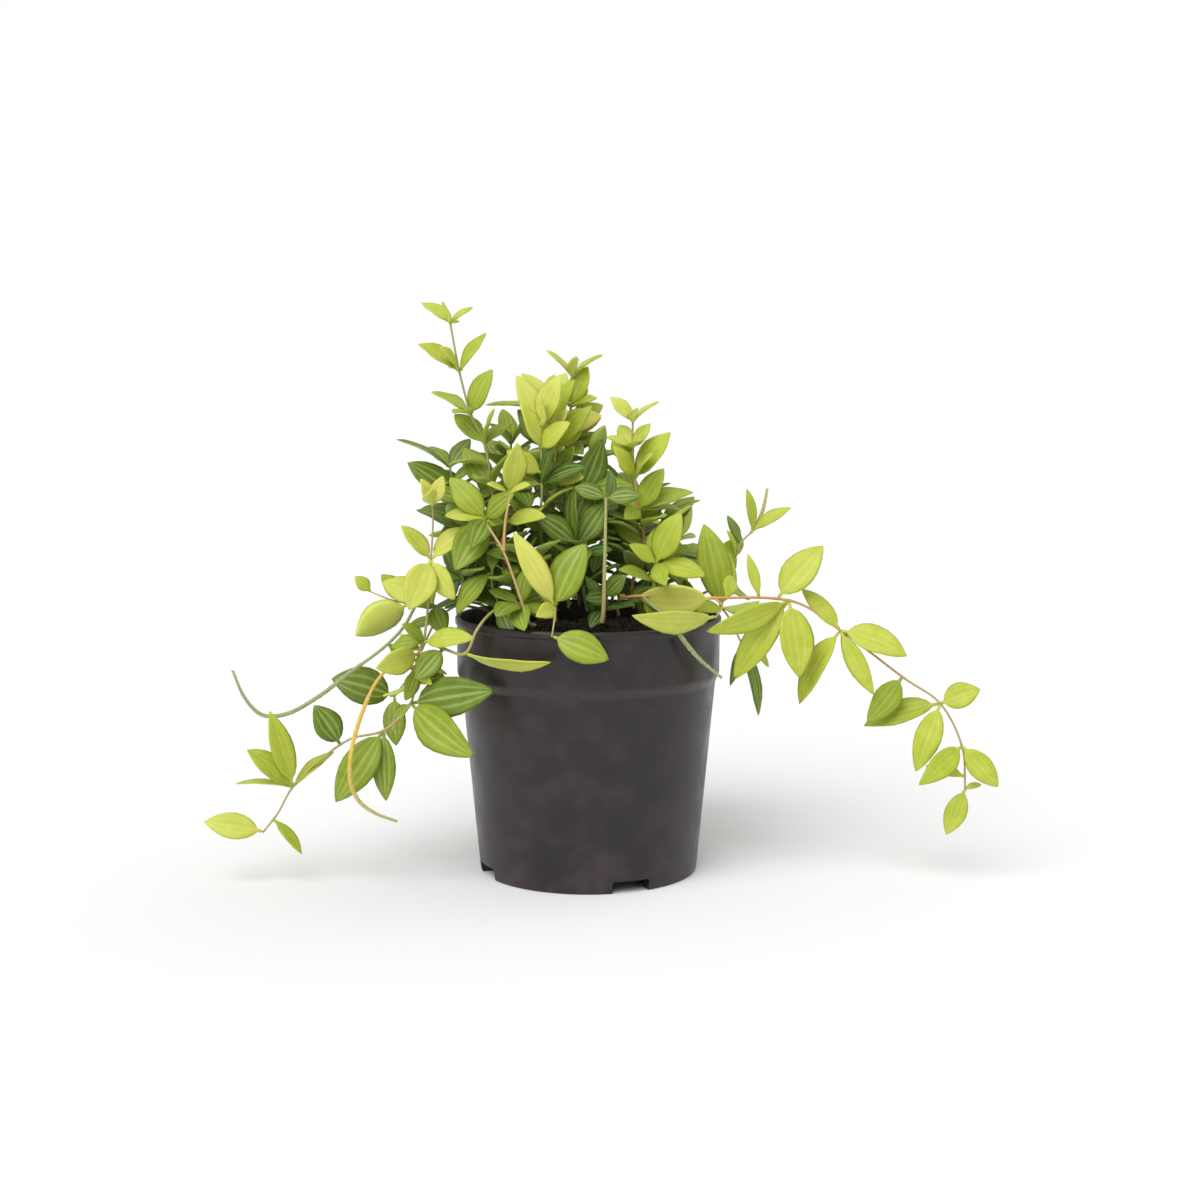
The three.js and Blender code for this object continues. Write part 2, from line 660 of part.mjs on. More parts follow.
// The leaf's closed skin: a four-cornered section at each station, split alike on both faces.
function leafGeometry(leaf) {
  const rings = [];
  const root = leaf.joint.clone().addScaledVector(leaf.along, rootInset);
  const short = leaf.length > tinyLeaf ? shortStations : tinyStations;
  for (const share of leaf.length > shortLeaf ? longStations : short) {
    const middle = bladePoint(leaf, share, 0);
    rings.push([
      bladePoint(leaf, share, -1),
      middle.clone().addScaledVector(leaf.face, -bladeThickness / 2),
      bladePoint(leaf, share, 1),
      middle.clone().addScaledVector(leaf.face, bladeThickness / 2),
    ]);
  }
  const tip = bladePoint(leaf, 1, 0);
  const corners = [];
  const add = (a, b, c) => corners.push(...a.toArray(), ...b.toArray(), ...c.toArray());
  for (let k = 0; k < 4; k++) add(rings[0][k], rings[0][(k + 1) % 4], root);
  for (let i = 0; i + 1 < rings.length; i++) {
    for (let k = 0; k < 4; k++) {
      const [a, b] = [rings[i][k], rings[i][(k + 1) % 4]];
      const [d, c] = [rings[i + 1][k], rings[i + 1][(k + 1) % 4]];
      if (k % 2 === 0) {
        add(a, c, b);
        add(a, d, c);
      } else {
        add(a, d, b);
        add(b, d, c);
      }
    }
  }
  const last = rings[rings.length - 1];
  for (let k = 0; k < 4; k++) add(last[k], tip, last[(k + 1) % 4]);
  const geometry = new THREE.BufferGeometry();
  geometry.setAttribute("position", new THREE.Float32BufferAttribute(corners, 3));
  return geometry;
}

// Points spread over a leaf, by which leaves are kept clear of each other.
function leafSamples(leaf) {
  const points = [];
  const rows = Math.ceil(leaf.length / sampleStep);
  for (let i = 2; i <= rows; i++) {
    const share = i / rows;
    const half = halfWidth(leaf, share);
    const columns = Math.max(1, Math.ceil(half / sampleStep));
    for (let k = -columns; k <= columns; k++) points.push(bladePoint(leaf, share, k / columns));
  }
  return points;
}

// Whether a point keeps off the pot, the soil and the ground.
function offThePot(p) {
  const reach = Math.hypot(p.x, p.y);
  if (p.z < 4) return false;
  if (p.z > potHeight + 2) return true;
  if (reach > rimRadius + 2) return true;
  return reach < rimRadius - 6 && p.z > soilLevel + 4;
}

// The ways that a leaf may lean to keep clear, the least first: degrees to its side, degrees towards
// its face, and the share of its size that is left.
const leanSizes = [1, 0.85, 0.7];
const leanReaches = [12, 24, 38, 54];
const leanWays = [[1, 0], [-1, 0], [0, 1], [0, -1], [0.7, 0.7], [-0.7, 0.7], [0.7, -0.7], [-0.7, -0.7]];
const leans = [[0, 0, 1]];
for (const size of leanSizes) {
  for (const reach of leanReaches) {
    for (const [a, b] of leanWays) leans.push([a * reach, b * reach, size]);
  }
}

// The leaf after a lean.
function placed(leaf, lean) {
  const [a, b, size] = [lean[0] * radians, lean[1] * radians, lean[2]];
  const along = leaf.along.clone().multiplyScalar(Math.cos(a) * Math.cos(b))
    .addScaledVector(leaf.side, Math.sin(a) * Math.cos(b))
    .addScaledVector(leaf.face, Math.sin(b))
    .normalize();
  const face = leaf.face.clone().addScaledVector(along, -leaf.face.dot(along)).normalize();
  const side = along.clone().cross(face);
  return { ...leaf, along, face, side, length: leaf.length * size, width: leaf.width * size };
}

const taken = [];

// Whether a leaf's points keep clear of the pot and of all that is placed already.
function isClear(points, node) {
  for (const p of points) if (!offThePot(p)) return false;
  for (const other of taken) {
    const reach = other.node === node ? ownClearance : clearance;
    if (other.node === node && other.stem) continue;
    for (const p of points) {
      for (const q of other.points) if (p.distanceToSquared(q) < reach * reach) return false;
    }
  }
  return true;
}

// The leaves of one stem as they are meant, before they lean out of each other's way.
function meantLeaves(stem, seed) {
  const draw = drawer(seed);
  const { line, first, spans } = stemLine(stem);
  const up = new THREE.Vector3(0, 0, 1);
  const back = new THREE.Vector3(0, 1, 0);
  const leaves = [];
  const push = (at, along, length, upright, roll, wide) => {
    const share = Math.min((first + at) / spans, 1 - endInset / spans);
    const joint = line.getPoint(share);
    const level = upright.clone().addScaledVector(along, -upright.dot(along)).normalize();
    const across = along.clone().cross(level);
    const towards = across.y > 0 ? -1 : 1;
    const turn = (roll + rollSpread * (draw() - 0.5)) * radians;
    const face = level.multiplyScalar(Math.cos(turn))
      .addScaledVector(across, towards * Math.sin(turn));
    const side = along.clone().cross(face);
    const width = wide ?? length * widthToLength * (1 + widthSpread * (draw() - 0.5));
    const bow = bowLeast + bowSpread * draw();
    leaves.push({ joint, along, face, side, length, width, bow });
  };
  for (const [at, x, y, z, roll, wide] of stem.leaves) {
    const reach = new THREE.Vector3(x, y, z);
    const length = reach.length();
    push(at, reach.normalize(), length, up, roll, wide);
  }
  for (const [at, count, turn, opening, length] of stem.whorls) {
    const axis = line.getTangent(Math.min(1, (first + at) / spans));
    const v = back.clone().addScaledVector(axis, -back.dot(axis)).normalize();
    const u = v.clone().cross(axis);
    for (let i = 0; i < count; i++) {
      const about = (turn + (i * 360) / count + turnSpread * (draw() - 0.5)) * radians;
      const open = (opening + openSpread * (draw() - 0.5)) * radians;
      const along = axis.clone().multiplyScalar(Math.cos(open))
        .addScaledVector(u, Math.sin(open) * Math.cos(about))
        .addScaledVector(v, Math.sin(open) * Math.sin(about))
        .normalize();
      push(at, along, length * (1 + lengthSpread * (draw() - 0.5)), axis, 0);
    }
  }
  return leaves;
}

const nodeOf = (stem) => stem.node ?? stem.on;
const solids = new Map();
const join = (node, solid) => {
  solids.set(node, solids.has(node) ? solids.get(node).add(solid) : solid);
};

// The stems and spikes come first, because the leaves keep clear of them.
const placeStem = (stem, radius) => {
  const stretch = stemLine(stem);
  const dots = Math.ceil(stretch.line.getLength() / stemDotStep);
  taken.push({ node: nodeOf(stem), stem: true, points: stretch.line.getPoints(dots) });
  join(nodeOf(stem), toSolid(tube(stretch, radius, tipTaper)));
};
for (const stem of leafyStems) placeStem(stem, stem.thick);
for (const spike of flowerSpikes) placeStem(spike, spikeRadius);

// A leaf takes the first lean that keeps it clear, and one with no such lean isn't grown.
leafyStems.forEach((stem, index) => {
  for (const leaf of meantLeaves(stem, firstSeed + index)) {
    for (const lean of leans) {
      const tried = placed(leaf, lean);
      const points = leafSamples(tried);
      if (!isClear(points, nodeOf(stem))) continue;
      taken.push({ node: nodeOf(stem), stem: false, points });
      join(nodeOf(stem), toSolid(leafGeometry(tried)));
      break;
    }
  }
});

const plant = new THREE.Group();
plant.name = "potted_peperomia";
const add = (name, solid, colour, roughness) => {
  const material = new THREE.MeshStandardMaterial({ color: colour, roughness, metalness: 0 });
  const mesh = new THREE.Mesh(toGeometry(solid), material);
  mesh.name = name;
  plant.add(mesh);
};
add("pot", makePot(), potColour, potRoughness);
add("soil", makeSoil(), soilColour, soilRoughness);
for (const stem of leafyStems) {
  if (stem.node) add(stem.node, solids.get(stem.node), tones[stem.tone], leafRoughness);
}

export default plant;
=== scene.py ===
# Potted beetle peperomia: the fine shapes and the looks of the plant, its soil and its pot.
import math
import random

import bmesh
import bpy
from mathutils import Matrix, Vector, noise
from mathutils.kdtree import KDTree


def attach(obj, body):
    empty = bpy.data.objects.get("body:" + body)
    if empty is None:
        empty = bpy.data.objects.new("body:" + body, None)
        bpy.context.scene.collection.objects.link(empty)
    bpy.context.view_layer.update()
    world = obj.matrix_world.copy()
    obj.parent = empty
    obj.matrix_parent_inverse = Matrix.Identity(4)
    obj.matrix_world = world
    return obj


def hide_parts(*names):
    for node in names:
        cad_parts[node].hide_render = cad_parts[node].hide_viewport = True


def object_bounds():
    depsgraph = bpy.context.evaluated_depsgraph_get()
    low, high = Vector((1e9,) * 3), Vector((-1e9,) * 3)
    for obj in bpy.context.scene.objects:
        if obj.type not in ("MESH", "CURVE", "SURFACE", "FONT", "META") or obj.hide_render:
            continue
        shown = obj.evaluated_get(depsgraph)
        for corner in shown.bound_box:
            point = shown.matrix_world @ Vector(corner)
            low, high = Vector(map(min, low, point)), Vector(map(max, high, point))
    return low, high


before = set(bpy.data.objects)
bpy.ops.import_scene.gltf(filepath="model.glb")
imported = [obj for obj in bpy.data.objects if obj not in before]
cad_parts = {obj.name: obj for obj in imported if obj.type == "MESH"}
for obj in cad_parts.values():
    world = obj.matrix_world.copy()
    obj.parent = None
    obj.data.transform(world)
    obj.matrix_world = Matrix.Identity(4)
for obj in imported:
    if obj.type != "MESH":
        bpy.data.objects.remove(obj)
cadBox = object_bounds()
scene = bpy.context.scene
mm = 0.001  # lengths in the tables are in millimetres, Blender's are in metres
print("frame loaded:", len(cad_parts), "nodes")


# Small helpers

def paint(red, green, blue):
    # a screen colour, 0 to 255, as the linear colour that shaders work in
    parts = []
    for value in (red, green, blue):
        share = value / 255
        parts.append(share / 12.92 if share <= 0.04045 else ((share + 0.055) / 1.055) ** 2.4)
    return (*parts, 1.0)


class Term:
    # a node's output; a sum of terms adds its Math nodes to their tree
    def __init__(self, socket):
        self.socket = socket
        self.tree = socket.id_data

    def math(self, operation, *others):
        return calc(self.tree, operation, self, *others)

    def __add__(self, other):
        return self.math("ADD", other)

    def __sub__(self, other):
        return self.math("SUBTRACT", other)

    def __rsub__(self, other):
        return calc(self.tree, "SUBTRACT", other, self)

    def __mul__(self, other):
        return self.math("MULTIPLY", other)

    def __truediv__(self, other):
        return self.math("DIVIDE", other)

    def __pow__(self, other):
        return self.math("POWER", other)

    def __gt__(self, other):
        return self.math("GREATER_THAN", other)

    def __abs__(self):
        return self.math("ABSOLUTE")


def feed(term, socket):
    # gives a socket another node's output or a plain value
    if isinstance(term, Term):
        socket.id_data.links.new(term.socket, socket)
    else:
        socket.default_value = term


def feedAll(node, terms):
    for name, term in terms.items():
        feed(term, node.inputs[name])


def addNode(tree, kind, settings=None, inputs=None):
    node = tree.nodes.new(kind)
    for name, value in (settings or {}).items():
        setattr(node, name, value)
    feedAll(node, inputs or {})
    return node


def made(tree, kind, inputs=None, settings=None, output=0):
    # a new node's output as a term
    return Term(addNode(tree, kind, settings, inputs).outputs[output])


def calc(tree, operation, *terms):
    node = addNode(tree, "ShaderNodeMath", {"operation": operation})
    for term, socket in zip(terms, node.inputs):
        feed(term, socket)
    return Term(node.outputs[0])


def scaled(vector, amount):
    return made(
        vector.tree, "ShaderNodeVectorMath", {"Vector": vector, "Scale": amount}, {"operation": "SCALE"},
    )


def vectorSum(first, second):
    node = addNode(first.tree, "ShaderNodeVectorMath", {"operation": "ADD"})
    feed(first, node.inputs[0])
    feed(second, node.inputs[1])
    return Term(node.outputs[0])


def remap(value, fromEnds, toEnds=(0.0, 1.0), smooth=True):
    titles = ("Value", "From Min", "From Max", "To Min", "To Max")
    inputs = dict(zip(titles, (value, *fromEnds, *toEnds)))
    kind = "SMOOTHSTEP" if smooth else "LINEAR"
    return made(value.tree, "ShaderNodeMapRange", inputs, {"interpolation_type": kind})


def mixed(factor, first, second):
    node = addNode(factor.tree, "ShaderNodeMix", {"data_type": "RGBA"})
    terms = {"Factor_Float": factor, "A_Color": first, "B_Color": second}
    for socket in node.inputs:
        if socket.identifier in terms:
            feed(terms[socket.identifier], socket)
    return Term(next(socket for socket in node.outputs if socket.identifier == "Result_Color"))


def ramp(value, places, colours):
    node = addNode(value.tree, "ShaderNodeValToRGB", inputs={"Fac": value})
    elements = node.color_ramp.elements
    while len(elements) < len(places):
        elements.new(0.5)
    for element, position, colour in zip(elements, places, colours):
        element.position = position
        element.color = colour
    return Term(node.outputs["Color"])


def attribute(shader, name):
    # a named attribute in a material
    return made(shader.id_data, "ShaderNodeAttribute", settings={"attribute_name": name}, output="Fac")


def named(tree, title, kind="FLOAT"):
    # a named attribute in Geometry Nodes
    return made(tree, "GeometryNodeInputNamedAttribute", {"Name": title}, {"data_type": kind})


def drawn(tree, seed, low, high, kind="FLOAT"):
    # a seeded random value for each point in Geometry Nodes
    node = addNode(tree, "FunctionNodeRandomValue", {"data_type": kind}, {"Seed": seed})
    ends = [socket for socket in node.inputs if socket.enabled and socket.name in ("Min", "Max")]
    feed(low, ends[0])
    feed(high, ends[1])
    return Term(next(socket for socket in node.outputs if socket.enabled))


def joined(*parts):
    node = addNode(parts[0].tree, "GeometryNodeJoinGeometry")
    for part in parts:
        feed(part, node.inputs["Geometry"])
    return Term(node.outputs["Geometry"])


def realized(instances):
    return made(instances.tree, "GeometryNodeRealizeInstances", {"Geometry": instances})


def coated(geometry, material):
    return made(geometry.tree, "GeometryNodeSetMaterial", {"Geometry": geometry, "Material": material})


def newMaterial(name):
    material = bpy.data.materials.new(name)
    material.use_nodes = True
    return material, material.node_tree.nodes["Principled BSDF"]


def newTree(name, kind, inputs, outputs):
    # a node tree with named inputs and outputs: {name: (socket kind, default)}
    tree = bpy.data.node_groups.new(name, kind)
    for title, (socketKind, start) in inputs.items():
        socket = tree.interface.new_socket(title, in_out="INPUT", socket_type=socketKind)
        if start is not None:
            socket.default_value = start
    for title, socketKind in outputs.items():
        tree.interface.new_socket(title, in_out="OUTPUT", socket_type=socketKind)
    start = tree.nodes.new("NodeGroupInput")
    given = {title: Term(start.outputs[title]) for title in inputs}
    return tree, given, tree.nodes.new("NodeGroupOutput")


def newGeometryTree(name, inputs):
    inputs = {"Geometry": ("NodeSocketGeometry", None), **inputs}
    return newTree(name, "GeometryNodeTree", inputs, {"Geometry": "NodeSocketGeometry"})


def newObject(name, mesh):
    piece = bpy.data.objects.new(name, mesh)
    scene.collection.objects.link(piece)
    return piece


def newMeshObject(name, points, edges, faces):
    mesh = bpy.data.meshes.new(name)
    mesh.from_pydata(points, edges, faces)
    return newObject(name, mesh)


def evaluated(piece, name, **options):
    # the mesh that a piece's modifiers make of it
    bpy.context.view_layer.update()
    graph = bpy.context.evaluated_depsgraph_get()
    mesh = bpy.data.meshes.new_from_object(piece.evaluated_get(graph), depsgraph=graph, **options)
    mesh.name = name
    return mesh


def baked(guide, tree, inputs, name, keep):
    # runs a Geometry Nodes tree over a guide and gives the result as a plain mesh object
    modifier = guide.modifiers.new(tree.name, "NODES")
    modifier.node_group = tree
    for item in tree.interface.items_tree:
        if item.item_type == "SOCKET" and item.in_out == "INPUT" and item.name in inputs:
            modifier[item.identifier] = inputs[item.name]
    mesh = evaluated(guide, name, preserve_all_data_layers=True)
    guide.modifiers.clear()
    for title in [layer.name for layer in mesh.attributes]:
        layer = mesh.attributes[title]
        if not (layer.is_required or layer.is_internal or title in (*keep, "material_index")):
            mesh.attributes.remove(layer)
    mesh.materials.pop(index=0)  # the guide's own empty slot
    old = guide.data
    bpy.data.objects.remove(guide)
    bpy.data.meshes.remove(old)
    return newObject(name, mesh)


def faceOutwards(piece):
    shape = bmesh.new()
    shape.from_mesh(piece.data)
    bmesh.ops.recalc_face_normals(shape, faces=shape.faces)
    shape.to_mesh(piece.data)
    shape.free()


def keepInBox(piece):
    # the visual stays inside the box of the solids
    low, high = cadBox
    for point in piece.data.vertices:
        point.co = [min(max(point.co[i], low[i]), high[i]) for i in range(3)]


def place(piece, node):
    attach(piece, "root")
    if node:
        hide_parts(node)
    print(piece.name, len(piece.data.polygons), "faces")


def alongCircle(degrees):
    turn = math.radians(degrees)
    return Vector((math.cos(turn), math.sin(turn), 0))


# Camera, light and floor

cameraValues = {
    "place": (5.3, -855.4, 227.5),
    "pitch": 6.91,  # degrees below level
    "focal": 1894.3,  # pixels of the 1200 pixel frame
    "frameWidth": 1200,
    "sensor": 36,
    "nearest": 0.01,
    "farthest": 50,
}
lightValues = {
    "sky": 0.55,
    "backdrop": 1.0,
    "keyFrom": (-0.42, -0.8, 0.95),
    "keySoftness": 52,  # degrees across
    "keyPower": 2.4,
    "sideFrom": (0.8, 0.5, 0.9),
    "sideSoftness": 50,
    "sidePower": 0.46,
    "floorHalf": 8.0,
    "floorColour": paint(239, 239, 239),
    "floorRoughness": 0.9,
    "floorShine": 0.1,
}


def makeCamera():
    v = cameraValues
    data = bpy.data.cameras.new("photoCamera")
    data.sensor_width = v["sensor"]
    data.lens = v["focal"] / v["frameWidth"] * v["sensor"]
    data.clip_start = v["nearest"]
    data.clip_end = v["farthest"]
    camera = newObject("photoCamera", data)
    camera.location = Vector(v["place"]) * mm
    camera.rotation_euler = (math.radians(90 - v["pitch"]), 0, 0)
    scene.camera = camera


def makeSoftLight(name):
    data = bpy.data.lights.new(name + "Light", "SUN")
    data.angle = math.radians(lightValues[name + "Softness"])
    data.energy = lightValues[name + "Power"]
    light = newObject(name + "Light", data)
    light.location = lightValues[name + "From"]
    light.rotation_euler = (-light.location).to_track_quat("-Z", "Y").to_euler()


def makeSky():
    # the sky lights the object softly, and the camera sees it as a white backdrop
    world = bpy.data.worlds.new("studioWorld")
    world.use_nodes = True
    seen = made(world.node_tree, "ShaderNodeLightPath", output="Is Camera Ray")
    strength = remap(seen, (0.0, 1.0), (lightValues["sky"], lightValues["backdrop"]), False)
    feedAll(world.node_tree.nodes["Background"], {"Color": (1, 1, 1, 1), "Strength": strength})
    scene.world = world


def makeStudio():
    makeSky()
    scene.view_settings.view_transform = "Standard"
    makeSoftLight("key")
    makeSoftLight("side")
    half = lightValues["floorHalf"]
    corners = [(-half, -half, 0), (half, -half, 0), (half, half, 0), (-half, half, 0)]
    floor = newMeshObject("studioFloor", corners, [], [(0, 1, 2, 3)])
    material, shader = newMaterial("paleFloor")
    feedAll(shader, {
        "Base Color": lightValues["floorColour"],
        "Roughness": lightValues["floorRoughness"],
        "Specular IOR Level": lightValues["floorShine"],
    })
    floor.data.materials.append(material)


makeCamera()
makeStudio()
print("studio done")


# An unevenness that every material uses: soft patches and a fine grain, both 0 to 1

def makeUnevenness():
    # each kind's size, its default and its detail
    kinds = {"Patches": ("Patch Size", 5 * mm, 3.0), "Grain": ("Grain Size", 0.5 * mm, 1.0)}
    contrast = (0.3, 0.7)
    tree, given, end = newTree(
        "unevenness", "ShaderNodeTree",
        {size: ("NodeSocketFloat", start) for size, start, detail in kinds.values()},
        {title: "NodeSocketFloat" for title in kinds},
    )
    where = made(tree, "ShaderNodeTexCoord", output="Object")
    for title, (size, start, detail) in kinds.items():
        inputs = {"Vector": where, "Scale": calc(tree, "DIVIDE", 1.0, given[size]), "Detail": detail}
        field = made(tree, "ShaderNodeTexNoise", inputs, {"noise_dimensions": "3D"}, "Fac")
        feed(remap(field, contrast), end.inputs[title])
    return tree


unevenness = makeUnevenness()


def uneven(shader, v):
    inputs = {"Patch Size": v["patchSize"] * mm, "Grain Size": v["grainSize"] * mm}
    group = addNode(shader.id_data, "ShaderNodeGroup", {"node_tree": unevenness}, inputs)
    return Term(group.outputs["Patches"]), Term(group.outputs["Grain"])


def relief(shader, height, v):
    strength, distance = v["relief"]
    inputs = {"Height": height, "Strength": strength, "Distance": distance * mm}
    feed(made(shader.id_data, "ShaderNodeBump", inputs), shader.inputs["Normal"])


# The pot: a moulded dark plastic nursery pot with foot notches and drain holes

potValues = {
    "rimRadius": 60.5,
    "height": 117.1,
    "bead": 3.6,
    "rimWidth": 2.2,
    "collarRadius": 59.7,
    "stepHeight": 90,
    "stepUp": 1.4,
    "stepDown": 2.4,
    "bodyTopRadius": 57.9,
    "footRadius": 49.8,
    "wall": 1.8,
    "floor": 2.2,
    "recess": 4.2,
    "padRadius": 18,
    "footWidth": 6,
    "slope": 2,
    "notchCount": 4,
    "firstNotch": 22.5,
    "notchWidth": 17.5,
    "notchHeight": 5.4,
    "notchRounding": 1.2,
    "drainCount": 6,
    "drainRadius": 4,
    "drainRing": 31,
    "drainSides": 24,
    "cutterDepth": 10,
    "cutterBelow": 2,
    "sides": 128,
    "sharpAngle": 35,
    "colour": paint(28, 22, 23),
    # the lighter colour serves both the dust and the painted highlight on the step
    "dusty": paint(55, 43, 45),
    "patchSize": 14,
    "dustPower": 1.6,
    "dustHeight": 50,
    "dustAbove": 0.55,
    # the step ring is a painted highlight of floor light on the ledge, partly dust
    "ringSheenAndDust": 0.75,
    "ringCore": 1.0,
    "ringReach": 3.4,
    "roughness": 0.3,
    "roughSpread": 0.14,
    "shine": 0.45,
    "grainSize": 0.7,
    "relief": (0.25, 0.06),
}


def roundedLine(corners, steps=4, farthest=0.45):
    # corners are (x, y, rounding); a rounded corner becomes a short curve, which takes up
    # less than half the way to the next corner
    line = []
    for index, (x, y, rounding) in enumerate(corners):
        here = Vector((x, y))
        if rounding == 0 or index in (0, len(corners) - 1):
            line.append(here)
            continue
        before = Vector(corners[index - 1][:2]) - here
        after = Vector(corners[index + 1][:2]) - here
        start = here + before.normalized() * min(rounding, before.length * farthest)
        end = here + after.normalized() * min(rounding, after.length * farthest)
        for step in range(steps + 1):
            share = step / steps
            line.append(start.lerp(here, share).lerp(here.lerp(end, share), share))
    return line


def turnedShape(name, line, sides):
    # a profile turned about Z; a point on the axis becomes one pole
    points = []
    rings = []
    for radius, height in line:
        count = sides if radius > 0 else 1
        rings.append([len(points) + side for side in range(count)])
        for side in range(count):
            turn = 2 * math.pi * side / sides
            points.append((radius * math.cos(turn) * mm, radius * math.sin(turn) * mm, height * mm))
    faces = []
    for lower, upper in zip(rings, rings[1:]):
        for side in range(sides):
            following = (side + 1) % sides
            if len(lower) == 1:
                faces.append((lower[0], upper[following], upper[side]))
            elif len(upper) == 1:
                faces.append((lower[side], lower[following], upper[0]))
            else:
                faces.append((lower[side], lower[following], upper[following], upper[side]))
    return newMeshObject(name, points, [], faces)


def potCutter():
    # one mesh with a rounded block for each foot notch and a peg for each drain hole
    v = potValues
    points = []
    faces = []

    def prism(outline, corner, start, end):
        first = len(points)
        count = len(outline)
        points.extend(corner(p, reach) * mm for reach in (start, end) for p in outline)
        faces.append([first + i for i in range(count)])
        faces.append([first + count + i for i in reversed(range(count))])
        for i in range(count):
            k = (i + 1) % count
            faces.append((first + i, first + count + i, first + count + k, first + k))

    half = v["notchWidth"] / 2
    arch = roundedLine([
        (-half, -v["cutterBelow"], 0),
        (-half, v["notchHeight"], v["notchRounding"]),
        (half, v["notchHeight"], v["notchRounding"]),
        (half, -v["cutterBelow"], 0),
    ])
    for index in range(v["notchCount"]):
        outward = alongCircle(v["firstNotch"] + index * 360 / v["notchCount"])
        sideways = Vector((-outward.y, outward.x, 0))
        prism(
            arch, lambda p, reach: outward * reach + sideways * p.x + Vector((0, 0, p.y)),
            v["footRadius"] - 1.5 * v["footWidth"], v["footRadius"] + v["footWidth"],
        )
    drain = [alongCircle(360 * i / v["drainSides"]) * v["drainRadius"] for i in range(v["drainSides"])]
    for index in range(v["drainCount"]):
        middle = alongCircle(360 * index / v["drainCount"]) * v["drainRing"]
        prism(drain, lambda p, height: middle + p + Vector((0, 0, height)), 0, v["cutterDepth"])
    cutter = newMeshObject("potCutter", points, [], faces)
    faceOutwards(cutter)
    return cutter


def makePotMaterial():
    v = potValues
    material, shader = newMaterial("potPlastic")
    patches, grain = uneven(shader, v)
    where = made(shader.id_data, "ShaderNodeTexCoord", output="Object")
    height = made(shader.id_data, "ShaderNodeSeparateXYZ", {"Vector": where}, output="Z")
    # more dust near the foot, and a lighter ring on the step under the collar: a painted highlight of floor
    # light on the ledge, partly dust
    dust = patches ** v["dustPower"] * remap(height, (0.0, v["dustHeight"] * mm), (1.0, v["dustAbove"]))
    offStep = abs(height - v["stepHeight"] * mm)
    ring = remap(offStep, (v["ringCore"] * mm, v["ringReach"] * mm), (v["ringSheenAndDust"], 0.0))
    feedAll(shader, {
        "Base Color": mixed(dust.math("MAXIMUM", ring), v["colour"], v["dusty"]),
        "Roughness": patches * v["roughSpread"] + v["roughness"],
        "Specular IOR Level": v["shine"],
    })
    relief(shader, grain, v)
    return material


def makePot():
    v = potValues
    bodyTop = v["stepHeight"] - v["stepDown"]
    collarFoot = v["stepHeight"] + v["stepUp"]
    line = roundedLine([
        (0, 0, 0),
        (v["padRadius"], 0, 0.5),
        (v["padRadius"] + v["slope"], v["recess"], 0.6),
        (v["footRadius"] - v["footWidth"] - v["slope"], v["recess"], 0.6),
        (v["footRadius"] - v["footWidth"], 0, 0.4),
        (v["footRadius"] - 0.6, 0, 0.5),
        (v["footRadius"], 1.2, 0.8),
        (v["bodyTopRadius"], bodyTop, 0.9),
        (v["collarRadius"], collarFoot, 0.9),
        (v["rimRadius"] - 0.7, v["height"] - v["bead"], 0.25),
        (v["rimRadius"], v["height"] - v["bead"] + 0.7, 0.5),
        (v["rimRadius"], v["height"] - 0.7, 0.6),
        (v["rimRadius"] - 0.7, v["height"], 0.6),
        (v["rimRadius"] - v["rimWidth"], v["height"], 0.5),
        (v["collarRadius"] - v["wall"], collarFoot, 0.8),
        (v["bodyTopRadius"] - v["wall"], bodyTop - 1, 0.8),
        (v["footRadius"] - v["wall"], v["recess"] + v["floor"], 1.2),
        (0, v["recess"] + v["floor"], 0),
    ])
    blank = turnedShape("potBlank", line, v["sides"])
    faceOutwards(blank)
    cutter = potCutter()
    cut = blank.modifiers.new("openings", "BOOLEAN")
    cut.operation = "DIFFERENCE"
    cut.solver = "EXACT"
    cut.object = cutter
    mesh = evaluated(blank, "nurseryPot")
    for spent in (blank, cutter):
        bpy.data.objects.remove(spent)
    pot = newObject("nurseryPot", mesh)
    mesh.materials.clear()
    mesh.materials.append(makePotMaterial())
    mesh.shade_smooth()
    mesh.set_sharp_from_angle(angle=math.radians(v["sharpAngle"]))
    place(pot, "pot")


makePot()


# The soil: dark peat with an uneven top, strewn with crumbs

soilValues = {
    "bottom": 6.9,
    "level": 108,
    "radius": 55.5,
    "bottomRadius": 47.4,
    "wallFoot": 86,
    "wallTop": 105,
    "topShare": 0.992,
    "wave": 0.8,
    "waves": ((0.31, 0.17, 0), (-0.12, 0.29, 1.3)),
    "lumps": 0.7,
    "lumpSize": 5,
    "lumpDetail": (0.9, 2.1, 3),  # roughness, gap between octaves, octaves
    "rings": 26,
    "sides": 96,
    "crumbs": 230000,  # crumbs for each square metre
    "crumbRadius": 0.75,
    "crumbStretch": ((0.4, 0.4, 0.3), (1.5, 1.1, 0.9)),
    "crumbSizes": (0.4, 1.3),
    "crumbTurns": (6.3, 6.3, 6.3),
    "seed": 8,
    "dark": paint(38, 29, 22),
    "light": paint(84, 63, 46),
    "bark": paint(120, 88, 60),
    "barkTints": (0.93, 0.97),
    "lightShare": 0.55,
    "tintPower": 3.0,
    "patchSize": 6,
    "grainSize": 0.8,
    "roughness": 0.85,
    "roughSpread": 0.1,
    "relief": (0.6, 0.3),
}


def soilHeight(x, y):
    v = soilValues
    wave = sum(math.sin(x * a + y * b + shift) for a, b, shift in v["waves"])
    lumps = noise.fractal(Vector((x, y, 3.0)) / v["lumpSize"], *v["lumpDetail"])
    return v["level"] + wave * v["wave"] + lumps * v["lumps"]


